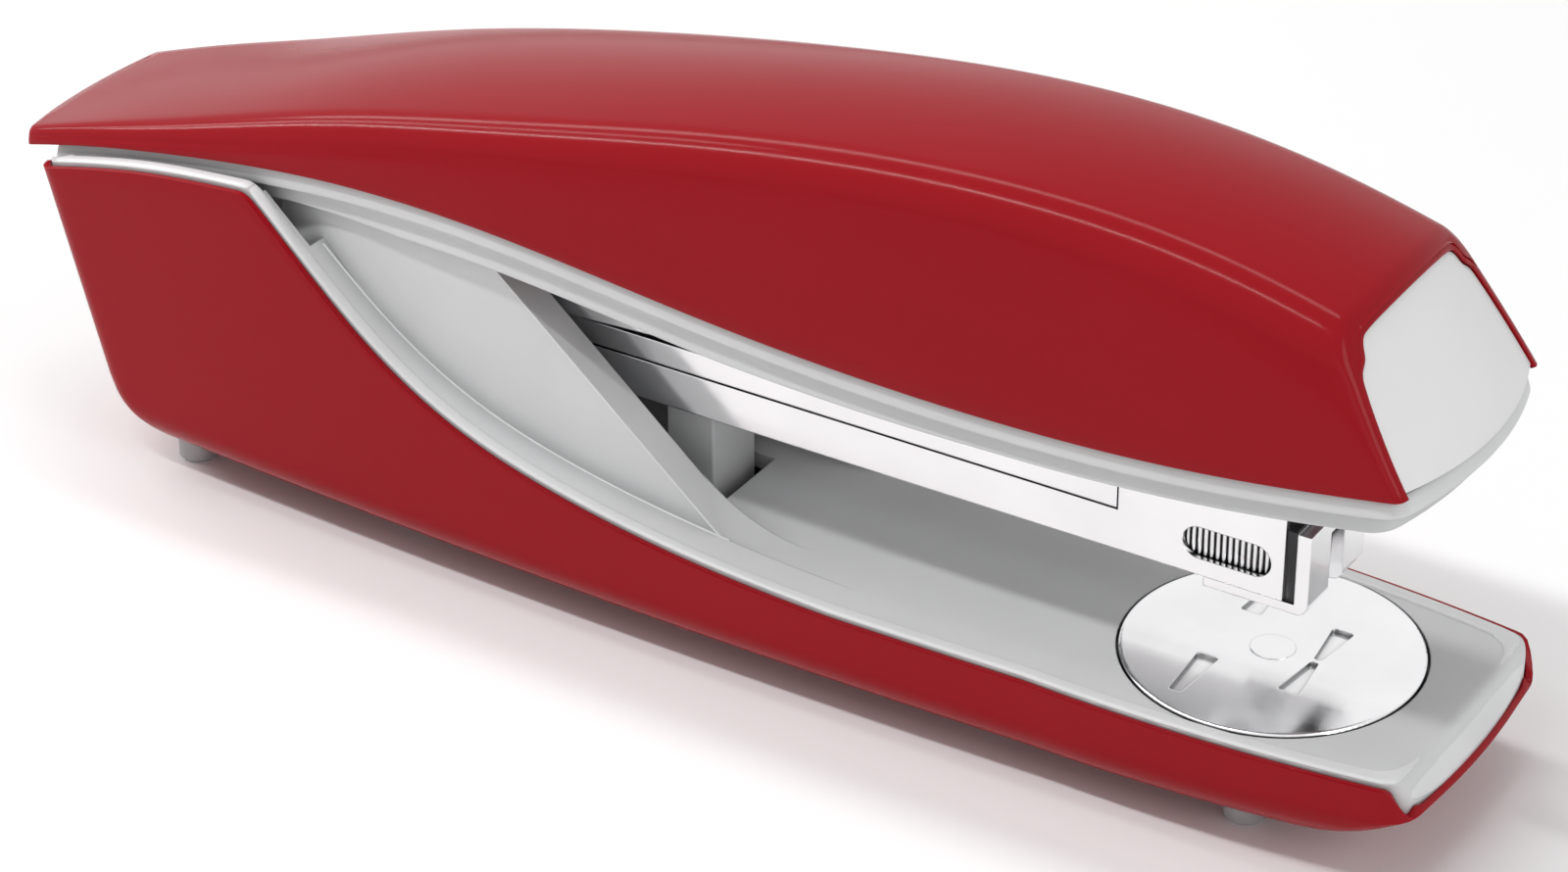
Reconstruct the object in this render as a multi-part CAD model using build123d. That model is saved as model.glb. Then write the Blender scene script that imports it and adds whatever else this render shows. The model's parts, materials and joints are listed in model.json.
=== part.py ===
from build123d import *
import math
import os

# Desk stapler, millimetres. X runs to the nose, Z up, the X-Z plane is the plane of symmetry.

# Overall reach along X and the shift that puts the origin under the middle of the box
handle_rear = -103.2
base_front = 99.3
middle = (handle_rear + base_front) / 2

# Sheet and wall thicknesses
shell_wall = 0.8
liner_wall = 1.4
seat_gap = 0.15
side_gap = 0.3
overrun = 1.0

# Base shell: heights, plan and the rounding of its underside
base_bottom = 3.6
base_height = 52.0
loft_shares = (0.0, 0.09, 0.3, 0.62, 1.0)
bottom_round = 6.0
rear_round = 9.0
rear_lean = 0.29
base_rear = -87.2
front_sweep = 20.3
front_sweep_height = 7.0
width_front = 18.7
width_shoulder = 20.9
width_middle = 21.2
width_rear = 18.3
shoulder_x = 78.0
middle_x = 50.0
waist_x = -25.0
front_bulge = 1.6
rear_bulge = 2.0
front_corner = 3.5
rear_corner = 3.0

# Rim of the base, seen from the side
rim_low = 14.8
rim_rear = 39.9
rim_middle = 44.6
rim_peak = 47.1
rim_peak_x = -61.0
rim_front_x = 95.4
lip_drop = 4.4
lip_reach = 3.2
rim_sweep = [(-55.9, 42.4), (-44.4, 32.2), (-31.3, 24.2), (-16.7, 19.5), (0.0, 16.6)]
rim_level_x = 24.0

# Tray and cheeks of the base liner
tray_top = 15.2
tray_thickness = 2.2
ledge_rear = -60.0
ledge_bend_x = -53.5
ledge_bend_inner = 16.8
cheek_inner = 10.0
cheek_outer = 14.8
cheek_front = 6.5
cheek_peak = 45.8
cheek_peak_x = -29.0
cheek_bend_x = -45.0
cheek_rear = -61.0
cheek_rear_outer = 12.4
cheek_edge = 0.3
ramp_outer = 0.6
ramp_inner = 9.0
ramp_sink = 0.2

# Notch in the rear wall for the tail of the handle
notch_half = 15.6
notch_bottom = 21.5
notch_front = -87.0

# Hinge
pivot_x = -86.0
pivot_z = 33.0
pin_radius = 2.0
pin_fit = 0.05
ear_radius = 4.6
bracket_sheet = 1.2
bracket_inner = 9.6
bracket_rear = -84.5
bracket_front = -72.0
bracket_ear_front = -76.0
clip_sheet = 0.6
clip_radius = 3.4
clip_gap = 0.1
clip_groove = 0.5
screw_radius = 1.4
screw_head = 2.6
screw_head_height = 1.2
screw_end_gap = 1.0
bracket_screw_x = -75.0
bracket_screw_y = 6.5
base_screw_x = 42.0
base_screw_y = 11.0

# Feet
foot_radius = 2.6
foot_round = 0.4
foot_stem = 1.5
foot_front_x = 75.2
foot_front_y = 11.8
foot_rear_x = -78.3
foot_rear_y = 11.5

# Anvil
anvil_x = 72.0
anvil_radius = 18.0
anvil_sheet = 1.6
anvil_top = 15.5
anvil_gap = 0.3
post_radius = 2.0
rivet_radius = 2.4
rivet_height = 0.6
well_offset = 5.6
well_depth = 0.5
anvil_round = 0.4
inner_well = [(0.3, 0.5), (7.4, 1.4)]
outer_well = [(5.4, 1.4), (14.0, 0.8)]
well_round = 0.4
button_radius = 7.0
button_flange = 8.5
button_bottom = 2.2
button_lip = 1.3
anvil_spring_radius = 3.3
anvil_spring_wire = 0.7
anvil_spring_turns = 3

# Magazine channel and nose
channel_half = 7.25
channel_sheet = 0.7
channel_floor = 27.2
floor_sheet = 0.8
channel_wall_top = 32.5
nose_wall_x = 54.7
nose_wall_top = 39.5
nose_wall_front = 76.0
floor_front = 75.4
plate_back = 77.5
plate_front = 79.2
plate_bottom = 26.0
plate_top = 36.6
plate_round = 1.4
plate_slot_half = 1.9
plate_slot_top = 34.6
saddle_rear = 66.0
window_x = 68.75
window_z = 31.45
window_length = 11.3
window_height = 4.2
nose_rivet_x = 70.0
nose_rivet_y = 4.2
rivet_shank = 1.0
rivet_head = 1.7
rivet_head_height = 0.5

# Staple core, follower and its spring
core_half = 5.6
core_sheet = 0.7
core_top = 33.4
core_rear = -64.0
core_window_rear = 62.0
core_window_front = 73.2
core_window_z = (29.0, 32.5)
core_tab = [24.0, -54.0]
core_tab_length = 8.0
core_slot_half = 0.9
tongue_x = 41.0
tongue_sheet = 1.2
tongue_half = 0.6
tongue_bottom = 29.7
strip_sheet = 0.9
strip_half = 3.0
strip_rear = 36.0
pusher_sheet = 1.4
pusher_front = 75.8
leg_sheet = 0.65
leg_gap = 0.15
leg_bottom_gap = 0.3
guide_length = 4.0
follower_travel = 100.0
anchor_x = 74.2
anchor_radius = 0.5
spring_z = 30.6
follower_spring_radius = 1.85
follower_spring_wire = 0.5
follower_spring_pitch = 0.93

# Guide post and return spring
post_rear = -9.0
post_front = -2.2
post_half = 4.8
post_bottom = 12.0
post_bore = 2.85
post_bore_top = 21.0
well_gap_rear = 2.5
well_gap_front = 2.2
well_gap_side = 1.2
return_spring_radius = 2.0
return_spring_wire = 0.6
return_spring_turns = 7

# Staple cover
cover_gap = 0.25
rail_top = 35.8
rail_sheet = 0.8
rail_front = 54.5
rail_rear = -76.0
rail_tab = 1.0
rail_tab_height = 1.1
rail_ear_outer = 6.35
rail_ear_sheet = 0.7
rail_ear_radius = 4.0
rail_ear_front = -70.0

# Driver arm and blade
arm_inner = 8.0
arm_sheet = 0.8
arm_front = 76.2
arm_upper = [(-84.0, 38.6), (-58.0, 42.6), (-24.0, 44.2), (35.0, 47.4), (54.0, 48.6)]
arm_lower = [(54.0, 41.0), (-24.0, 36.6), (-70.0, 34.5), (-82.0, 29.6)]
arm_tip_low = 42.5
arm_tab = 0.9
arm_tab_half = 6.0
arm_tab_bottom = 43.6
blade_sheet = 0.6
blade_gap = 0.05
blade_half = 6.3
blade_bottom = 38.5
blade_rivet_y = 3.0
blade_rivet_z = 46.5
blade_rivet_head = 1.25

# Handle cover stations: X, half width, lower edge, shoulder height, shoulder radius, side lean, crown rise
cover_stations = [
    (handle_rear, 13.6, 39.8, 41.8, 1.3, 0.2, 0.1),
    (-92.0, 14.9, 43.2, 45.4, 2.0, 0.3, 0.3),
    (-76.0, 16.0, 46.8, 50.2, 3.2, 0.4, 0.6),
    (-52.0, 17.3, 50.5, 57.5, 4.6, 0.7, 1.0),
    (-25.0, 18.7, 51.3, 63.9, 5.4, 1.2, 1.2),
    (5.0, 19.0, 48.6, 69.7, 6.0, 1.9, 1.2),
    (40.0, 18.9, 46.9, 73.4, 6.0, 2.1, 1.2),
    (70.0, 18.4, 48.1, 71.2, 6.0, 2.1, 1.2),
    (104.0, 18.3, 53.55, 61.4, 6.0, 2.1, 1.2),
]
side_bow = 0.03
tail_radius = 50.0
shoulder_low = math.radians(10)
shoulder_mid = math.radians(55)
shoulder_high = math.radians(82)

# Front of the handle
front_tilt = 35.8
front_radius = 55.4
front_x = 97.8
front_z = 51.7
hem_width = 1.6
cap_gap = 0.4
cap_recess = 0.5
cap_sheet = 2.2
cap_bottom = 52.2

# Handle liner bands and its two bridges
upper_band = 2.6
upper_band_inset = 0.5
lower_band_line = [(-57.0, 2.1), (-40.0, 3.4), (5.0, 3.4), (42.0, 2.6), (99.0, 2.3)]
lower_band_inset = 1.5
band_wall = 1.2
band_lap = 0.8
band_front = 97.0
band_front_radius = 50.0
band_end_wall = 2.2
upper_tail = 4.6
lower_tail = 6.2
hollow_depth = 10.0
bridges = [-72.0, 35.0]
bridge_length = 8.0
bridge_height = 3.2
bridge_inset = 2.3
bridge_gap = 0.05
handle_screw_shank = 1.3
handle_screw_head = 2.4
handle_screw_head_height = 1.4

# Handle leaf spring
leaf_half = 4.5
leaf_sheet = 0.5
leaf_rear = -46.0
leaf_bend = -34.0
leaf_tip = 4.0
leaf_gap = 0.3


# Helpers
def block(x0, x1, y0, y1, z0, z1):
    """A box between two corners."""
    size = Box(x1 - x0, y1 - y0, z1 - z0)
    return Pos((x0 + x1) / 2, (y0 + y1) / 2, (z0 + z1) / 2) * size


def rod(radius, x, y, z0, z1):
    """An upright cylinder."""
    return Pos(x, y, (z0 + z1) / 2) * Cylinder(radius, z1 - z0)


def cross_rod(radius, x, z, y0, y1):
    """A cylinder along Y."""
    return Pos(x, (y0 + y1) / 2, z) * Rot(90, 0, 0) * Cylinder(radius, y1 - y0)


def long_rod(radius, y, z, x0, x1):
    """A cylinder along X."""
    return Pos((x0 + x1) / 2, y, z) * Rot(0, 90, 0) * Cylinder(radius, x1 - x0)


def outline_xz(*edges):
    """A face in the X-Z plane from edges drawn with X and Z as their two numbers."""
    return Plane.XZ * make_face(edges)


def polygon_xz(points):
    """A straight-sided face in the X-Z plane."""
    return Plane.XZ * make_face(Polyline(*points, close=True))


def across(face, half):
    """A face of the X-Z plane made solid over both sides of the symmetry plane."""
    return extrude(face, amount=half, both=True)


def side_pair(face, inner, thickness):
    """Two plates with the outline of a face of the X-Z plane, one at each side."""
    plate = Pos(0, -inner, 0) * extrude(face, amount=thickness)
    return [plate, mirror(plate, about=Plane.XZ)]


def along(points, x):
    """The height at x on straight runs between points in rising order of x."""
    for (x0, z0), (x1, z1) in zip(points, points[1:]):
        if x <= x1:
            return z0 + (z1 - z0) * (x - x0) / (x1 - x0)
    return points[-1][1]


def join(pieces):
    """One solid from pieces that meet."""
    whole = pieces[0]
    for piece in pieces[1:]:
        whole = whole + piece
    return whole


def group(pieces):
    """Separate solids that share a node."""
    return Compound(children=[solid for piece in pieces for solid in piece.solids()])


def tube_on_biarcs(points, tangents, wire):
    """A round wire swept along biarcs through points, with straight ends one diameter long."""
    first = points[0] - tangents[0] * (2 * wire)
    last = points[-1] + tangents[-1] * (2 * wire)
    edges = [Edge.make_line(first, points[0])]
    for p, q, a, b in zip(points, points[1:], tangents, tangents[1:]):
        run = q - p
        spread = 2 * (1 - a.dot(b))
        pull = run.dot(a + b)
        reach = (math.sqrt(pull * pull + spread * run.dot(run)) - pull) / spread
        meet = (p + a * reach + q - b * reach) * 0.5
        edges.append(Edge.make_tangent_arc(p, a, meet))
        edges.append(Edge.make_tangent_arc(meet, edges[-1] % 1, q))
    edges.append(Edge.make_line(points[-1], last))
    section = Plane(origin=first, z_dir=tangents[0]) * Circle(wire)
    return sweep(section, path=Wire(edges))


def coil(name, centre, axis, side, radius, wire, pitch, turns):
    """A coil spring that starts at centre and winds along axis."""
    up = axis.cross(side)
    points = []
    tangents = []
    for step in range(4 * turns + 1):
        angle = step * math.pi / 2
        ring = side * math.cos(angle) + up * math.sin(angle)
        turn = up * math.cos(angle) - side * math.sin(angle)
        points.append(centre + ring * radius + axis * (pitch * step / 4))
        tangents.append((turn * (2 * math.pi * radius) + axis * pitch).normalized())
    slope = math.atan2(pitch, 2 * math.pi * radius)
    print(name, "least gap between turns", round(pitch * math.cos(slope) - 2 * wire, 3))
    return tube_on_biarcs(points, tangents, wire)


# Base form: plan outlines at several heights, lofted
def bottom_inset(radius, z):
    """How far a rounded lower edge stands in at height z."""
    rise = min(z - base_bottom, radius)
    return radius - math.sqrt(radius ** 2 - (radius - rise) ** 2)


def base_outline(z, inset):
    """The plan of the base at height z, set in by a wall."""
    sweep_share = min((z - base_bottom) / front_sweep_height, 1)
    front = base_front - front_sweep * (1 - math.sqrt(sweep_share)) - inset
    rear = base_rear - rear_lean * (z - base_bottom) + bottom_inset(rear_round, z) + inset
    step = bottom_inset(bottom_round, z) + inset
    front_corner_x = front - front_bulge
    rear_corner_x = rear + rear_bulge
    front_side_x = front_corner_x - (base_front - front_bulge - shoulder_x)
    blend_x = min(middle_x, front_side_x - front_corner)
    edges = []
    for side in (1, -1):
        front_point = (front_corner_x, side * (width_front - step))
        shoulder_point = (front_side_x, side * (width_shoulder - step))
        blend_point = (blend_x, side * (width_middle - step))
        waist_point = (waist_x, side * (width_middle - step))
        rear_point = (rear_corner_x, side * (width_rear - step))
        edges.append(ThreePointArc(front_point, shoulder_point, blend_point))
        edges.append(ThreePointArc(blend_point, waist_point, rear_point))
    front_low = (front_corner_x, step - width_front)
    front_high = (front_corner_x, width_front - step)
    rear_low = (rear_corner_x, step - width_rear)
    rear_high = (rear_corner_x, width_rear - step)
    edges.append(ThreePointArc(front_low, (front, 0), front_high))
    edges.append(ThreePointArc(rear_low, (rear, 0), rear_high))
    face = make_face(edges)
    front_ends = [v for v in face.vertices() if abs(v.X - front_corner_x) < seat_gap]
    face = fillet(front_ends, front_corner)
    rear_ends = [v for v in face.vertices() if abs(v.X - rear_corner_x) < seat_gap]
    face = fillet(rear_ends, rear_corner)
    return Pos(0, 0, z) * face


def base_form(inset, floor):
    """The outside of the base, or of what fits in it, before its rim is cut."""
    low = [base_outline(base_bottom + front_sweep_height * share, inset) for share in loft_shares]
    lower = loft(low)
    upper = loft([low[-1], base_outline(base_height, inset)])
    form = lower + upper
    far = 2 * base_front
    return form & block(-far, far, -far, far, base_bottom + floor, base_height)


# Rim profile, seen from the side
def below_rim(rise):
    """Everything under the rim line of the base, raised by a step."""
    start = (2 * handle_rear, rim_rear + rise)
    rear = (base_rear - rear_lean * (rim_rear - base_bottom), rim_rear + rise)
    peak = (rim_peak_x, rim_peak + rise)
    halfway = ((rear[0] + peak[0]) / 2, rim_middle + rise)
    level = (rim_level_x, rim_low + rise)
    bend = (rim_front_x, rim_low + rise)
    lip = (rim_front_x + lip_reach, rim_low - lip_drop + rise)
    ahead = (2 * base_front, lip[1])
    run = [peak] + [(x, z + rise) for x, z in rim_sweep] + [level]
    return across(
        outline_xz(
            Line(start, rear),
            ThreePointArc(rear, halfway, peak),
            Spline(*run),
            Line(level, bend),
            Spline(bend, lip, tangents=[(1, 0), (1, 0)]),
            Line(lip, ahead),
            Line(ahead, (ahead[0], 0)),
            Line((ahead[0], 0), (start[0], 0)),
            Line((start[0], 0), start),
        ),
        base_front,
    )


def tail_notch():
    """The opening in the rear wall through which the tail of the handle swings."""
    return block(2 * handle_rear, notch_front, -notch_half, notch_half, notch_bottom, base_height)


shell_floor_top = base_bottom + shell_wall
tray_bottom = tray_top - tray_thickness
foot_spots = [(foot_front_x, foot_front_y), (foot_rear_x, foot_rear_y)]
feet_places = [(x, side * y) for x, y in foot_spots for side in (1, -1)]
base_screw_places = [(sx * base_screw_x, sy * base_screw_y) for sx in (1, -1) for sy in (1, -1)]
bracket_screw_places = [(bracket_screw_x, sy * bracket_screw_y) for sy in (1, -1)]


def make_base_shell():
    shell = base_form(0, 0) & below_rim(0)
    shell = shell - base_form(shell_wall, shell_wall) - tail_notch()
    for x, y in feet_places:
        shell = shell - rod(foot_stem + pin_fit, x, y, 0, tray_bottom)
    for x, y in base_screw_places:
        shell = shell - rod(screw_radius + pin_fit, x, y, 0, tray_bottom)
    return shell - rod(button_radius + side_gap, anvil_x, 0, 0, tray_bottom)


# Base liner: tray, ledge, walls and cheeks
post_well = (post_rear - well_gap_rear, post_front + well_gap_front, post_half + well_gap_side)


def cheek_profile():
    """One cheek panel, seen from the side."""
    foot = (cheek_front, tray_bottom)
    toe = (cheek_front, tray_top)
    peak = (cheek_peak_x, cheek_peak)
    back = (cheek_rear, cheek_peak)
    heel = (cheek_rear, tray_bottom)
    return polygon_xz([foot, toe, peak, back, heel])


def ramp_section(y, reach):
    """The hollow between the slope of a cheek and the tray, filled by an arc, at distance y."""
    run = cheek_peak_x - cheek_front
    rise = cheek_peak - tray_top
    length = math.hypot(run, rise)
    toe = (cheek_front - ramp_sink, tray_top - ramp_sink)
    high = (cheek_front + run / length * reach, tray_top + rise / length * reach)
    low = (cheek_front + reach, tray_top)
    face = make_face([Line(high, toe), Line(toe, low), TangentArc(low, high, tangent=(-1, 0))])
    return Plane.XZ.offset(y) * face


def make_ramps():
    """The tapered ramps at the feet of the cheeks, widest at their inner faces."""
    ramp = loft([ramp_section(cheek_outer, ramp_outer), ramp_section(cheek_inner, ramp_inner)], ruled=True)
    return [ramp, mirror(ramp, about=Plane.XZ)]


def cheek_trim():
    """What the inward bend at the rear takes off the two cheeks, above the ledge."""
    bend = (cheek_bend_x, cheek_outer)
    rear = (cheek_rear, cheek_rear_outer)
    corner = (cheek_rear, cheek_outer + overrun)
    far = (cheek_bend_x, cheek_outer + overrun)
    face = make_face([TangentArc(bend, rear, tangent=(-1, 0)), Polyline(rear, corner, far, bend)])
    ledge = block(ledge_bend_x, base_front, -base_front, base_front, 0, base_height)
    tool = extrude(face, amount=base_height) - (ledge & below_rim(tray_top - rim_low))
    return [mirror(tool, about=Plane.XZ), tool]


def make_base_liner():
    fit = shell_wall + seat_gap
    outer = base_form(fit, fit)
    inner = base_form(fit + liner_wall, 0)
    pan = outer & below_rim(tray_top - rim_low)
    far = base_front
    over = block(2 * handle_rear, ledge_rear, -far, far, tray_top, base_height)
    rear_cut = block(ledge_rear, ledge_bend_x, -ledge_bend_inner, ledge_bend_inner, tray_top, base_height)
    middle_cut = block(ledge_bend_x, far, -cheek_outer, cheek_outer, tray_top, base_height)
    pan = pan - (inner & over) - (inner & rear_cut) - (inner & middle_cut)
    pan = pan - (inner & block(2 * handle_rear, far, -far, far, 0, tray_bottom))
    ledge_under = below_rim(tray_top - rim_low - tray_thickness) & inner
    ledge_inner = cheek_outer + liner_wall
    ledge_box = block(ledge_bend_x + liner_wall, cheek_front, ledge_inner, far, tray_bottom, base_height)
    for tool in (ledge_box, mirror(ledge_box, about=Plane.XZ)):
        pan = pan - (ledge_under & tool)
    cheeks = []
    plates = side_pair(cheek_profile(), cheek_inner, cheek_outer - cheek_inner)
    for cheek, trim in zip(plates, cheek_trim()):
        edge = cheek.edges().filter_by(Axis.Y, reverse=True).filter_by(Plane.XZ)
        slope = [e for e in edge if abs(e.center().X - (cheek_front + cheek_peak_x) / 2) < overrun]
        cheeks.append(fillet(slope, cheek_edge) - trim)
    liner = join([pan] + cheeks + make_ramps())
    well_rear, well_front, well_half = post_well
    liner = liner - block(well_rear, well_front, -well_half, well_half, 0, tray_top + overrun)
    recess = anvil_top - anvil_sheet - seat_gap
    liner = liner - rod(anvil_radius + anvil_gap, anvil_x, 0, recess, base_height)
    liner = liner - rod(post_radius + side_gap, anvil_x, 0, 0, base_height)
    bosses = []
    for x, y in base_screw_places:
        boss = rod(2 * screw_radius, x, y, shell_floor_top + seat_gap, tray_bottom)
        bosses.append(boss - rod(screw_radius + pin_fit, x, y, 0, tray_bottom))
    liner = join([liner] + bosses) - tail_notch()
    for x, y in bracket_screw_places:
        liner = liner - rod(screw_radius + pin_fit, x, y, 0, base_height)
    return liner


def make_feet():
    feet = []
    for x, y in feet_places:
        stem = rod(foot_stem, x, y, base_bottom, shell_floor_top)
        pad = rod(foot_radius, x, y, 0, base_bottom)
        pad = fillet(pad.edges().group_by(Axis.Z)[0], foot_round)
        feet.append(pad + stem)
    return group(feet)


def screw(x, y, z_head, z_tip, shank, head, head_height):
    """A pan-head screw from its seat at z_head to its tip, which may lie above or below."""
    way = 1 if z_tip > z_head else -1
    low, high = sorted((z_head, z_head - way * head_height))
    body = rod(head, x, y, low, high)
    low, high = sorted((z_head, z_tip))
    return body + rod(shank, x, y, low, high)


def make_base_screws():
    pieces = []
    for x, y in base_screw_places:
        tip = tray_bottom - screw_end_gap
        pieces.append(screw(x, y, base_bottom, tip, screw_radius, screw_head, screw_head_height))
    return group(pieces)


# Hinge
bracket_outer = bracket_inner + bracket_sheet
clip_inner = bracket_outer + clip_gap
pin_half = clip_inner + 2 * clip_sheet
pivot_hole = pin_radius + pin_fit


def ear(polygon, radius):
    """A plate outline of a polygon and a round end at the pivot, with its hole."""
    disc = Plane.XZ * (Pos(pivot_x, pivot_z) * Circle(radius))
    hole = Plane.XZ * (Pos(pivot_x, pivot_z) * Circle(pivot_hole))
    return polygon_xz(polygon) + disc - hole


def make_hinge_bracket():
    foot_top = tray_top + bracket_sheet
    outline = [
        (bracket_rear, tray_top),
        (bracket_ear_front, tray_top),
        (pivot_x + ear_radius, pivot_z),
        (pivot_x - ear_radius, pivot_z),
    ]
    ears = side_pair(ear(outline, ear_radius), bracket_inner, bracket_sheet)
    foot = block(bracket_rear, bracket_front, -bracket_outer, bracket_outer, tray_top, foot_top)
    bracket = join([foot] + ears)
    for x, y in bracket_screw_places:
        bracket = bracket - rod(screw_radius + pin_fit, x, y, 0, base_height)
    return bracket


def make_hinge_pin():
    pin = cross_rod(pin_radius, pivot_x, pivot_z, -pin_half, pin_half)
    ring = cross_rod(pin_radius + overrun, pivot_x, pivot_z, clip_inner, clip_inner + clip_sheet)
    ring = ring - cross_rod(pin_radius - clip_groove, pivot_x, pivot_z, clip_inner, clip_inner + clip_sheet)
    return pin - ring - mirror(ring, about=Plane.XZ)


def make_pin_clips():
    reach = clip_inner + clip_sheet - clip_gap / 2
    start = clip_inner + clip_gap / 2
    disc = cross_rod(clip_radius, pivot_x, pivot_z, start, reach)
    bore = cross_rod(pin_radius - clip_groove + pin_fit, pivot_x, pivot_z, start, reach)
    mouth_half = pin_radius - clip_groove + pin_fit
    mouth_end = pivot_x + 2 * clip_radius
    mouth = block(pivot_x, mouth_end, 0, 2 * reach, pivot_z - mouth_half, pivot_z + mouth_half)
    clip = disc - bore - mouth
    return group([clip, mirror(clip, about=Plane.XZ)])


def make_bracket_screws():
    pieces = []
    for x, y in bracket_screw_places:
        seat = tray_top + bracket_sheet
        tip = shell_floor_top + screw_end_gap
        pieces.append(screw(x, y, seat, tip, screw_radius, screw_head, screw_head_height))
    return group(pieces)


# Anvil
anvil_bottom = anvil_top - anvil_sheet


def well(x, ends):
    """A shallow tapered pocket in the anvil plate, given as distance and half width at its two ends."""
    (near, near_half), (far, far_half) = ends
    corners = [(x - near_half, near), (x + near_half, near), (x + far_half, far), (x - far_half, far)]
    face = make_face(Polyline(*corners, close=True))
    face = fillet(face.vertices(), well_round)
    return Pos(0, 0, anvil_top - well_depth) * extrude(face, amount=anvil_sheet)


def make_anvil_plate():
    plate = rod(anvil_radius, anvil_x, 0, anvil_bottom, anvil_top)
    plate = fillet(plate.edges().group_by(Axis.Z)[-1], anvil_round)
    plate = plate - rod(post_radius + pin_fit, anvil_x, 0, 0, base_height)
    plate = plate - rod(rivet_radius + pin_fit, anvil_x, 0, anvil_top - rivet_height, base_height)
    for pocket in (well(anvil_x + well_offset, inner_well), well(anvil_x - well_offset, outer_well)):
        plate = plate - pocket - mirror(pocket, about=Plane.XZ)
    return plate


def make_anvil_button():
    cap_top = shell_floor_top + 2 * side_gap + button_lip
    cap = rod(button_radius, anvil_x, 0, button_bottom, cap_top)
    cap = fillet(cap.edges().group_by(Axis.Z)[0], button_lip / 2)
    flange = rod(button_flange, anvil_x, 0, cap_top - button_lip, cap_top)
    shank = rod(post_radius, anvil_x, 0, cap_top, anvil_top)
    head = rod(rivet_radius, anvil_x, 0, anvil_top - rivet_height, anvil_top)
    return join([cap, flange, shank, head])


def make_anvil_spring():
    start = shell_floor_top + 2 * side_gap + button_lip + anvil_spring_wire / 2 + side_gap
    end = tray_bottom - anvil_spring_wire / 2 - side_gap
    pitch = (end - start - anvil_spring_wire) / anvil_spring_turns
    centre = Vector(anvil_x, 0, start + anvil_spring_wire / 2)
    return coil("anvil_spring", centre, Vector(0, 0, 1), Vector(1, 0, 0), anvil_spring_radius,
                anvil_spring_wire / 2, pitch, anvil_spring_turns)


# Magazine
channel_inner = channel_half - channel_sheet
floor_top = channel_floor + floor_sheet


def make_magazine_channel():
    wall = [
        (pivot_x - ear_radius, pivot_z),
        (pivot_x - ear_radius, channel_floor),
        (nose_wall_front, channel_floor),
        (nose_wall_front, nose_wall_top),
        (nose_wall_x, nose_wall_top),
        (nose_wall_x, channel_wall_top),
        (rail_rear, channel_wall_top),
        (pivot_x + ear_radius, pivot_z),
    ]
    outline = ear(wall, ear_radius)
    window = Plane.XZ * (Pos(window_x, window_z) * SlotOverall(window_length, window_height))
    walls = side_pair(outline - window, channel_inner, channel_sheet)
    floor = block(pivot_x - ear_radius, floor_front, -channel_half, channel_half, channel_floor, floor_top)
    channel = join([floor] + walls)
    for sy in (1, -1):
        channel = channel - rod(rivet_shank + pin_fit, nose_rivet_x, sy * nose_rivet_y, 0, floor_top)
    for x in core_tab:
        channel = channel - rod(rivet_shank + pin_fit, x, 0, 0, floor_top)
    return channel


def make_nose_plate():
    plate = block(plate_back, plate_front, -channel_half, channel_half, plate_bottom, plate_top)
    edge = plate.edges().group_by(Axis.Z)[0].sort_by(Axis.X)[-1]
    plate = fillet(edge, plate_round)
    slot = block(plate_back, plate_front, -plate_slot_half, plate_slot_half, plate_bottom, plate_slot_top)
    saddle = block(saddle_rear, floor_front, -channel_half, channel_half, plate_bottom, channel_floor)
    feet = []
    for sy in (1, -1):
        low, high = sorted((sy * channel_inner, sy * channel_half))
        feet.append(block(saddle_rear, plate_back, low, high, plate_bottom, channel_floor))
        saddle = saddle - rod(rivet_shank + pin_fit, nose_rivet_x, sy * nose_rivet_y, 0, floor_top)
    return join([plate - slot, saddle] + feet)


def rivet(x, y, z0, z1):
    """A rivet with a flat head at each end of its grip."""
    shank = rod(rivet_shank, x, y, z0, z1)
    low = rod(rivet_head, x, y, z0 - rivet_head_height, z0)
    high = rod(rivet_head, x, y, z1, z1 + rivet_head_height)
    return join([shank, low, high])


def make_nose_rivets():
    return group([rivet(nose_rivet_x, sy * nose_rivet_y, plate_bottom, floor_top) for sy in (1, -1)])


# Staple core, follower and spring
core_bottom = floor_top + pin_fit
core_inner = core_half - core_sheet
tab_top = core_bottom + core_sheet


def make_staple_core():
    core = block(core_rear, floor_front, -core_half, core_half, core_bottom, core_top)
    core = core - block(core_rear, floor_front, -core_inner, core_inner, core_bottom, core_top - core_sheet)
    window_low, window_high = core_window_z
    core = core - block(core_window_rear, core_window_front, -core_half, core_half, window_low, window_high)
    slot_rear = tongue_x - follower_travel - guide_length / 2
    slot_front = tongue_x + tongue_sheet + side_gap
    slot_low = core_top - core_sheet
    core = core - block(slot_rear, slot_front, -core_slot_half, core_slot_half, slot_low, core_top)
    tabs = []
    for x in core_tab:
        reach = core_tab_length / 2
        tab = block(x - reach, x + reach, -core_half, core_half, core_bottom, tab_top)
        tabs.append(tab - rod(rivet_shank + pin_fit, x, 0, core_bottom, tab_top))
    for sy in (1, -1):
        head_top = floor_top + 2 * rivet_head_height
        core = core - rod(rivet_head + pin_fit, nose_rivet_x, sy * nose_rivet_y, 0, head_top)
    core = join([core] + tabs)
    return core - cross_rod(anchor_radius, anchor_x, spring_z, -core_half, core_half)


def make_core_rivets():
    return group([rivet(x, 0, channel_floor, tab_top) for x in core_tab])


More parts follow.
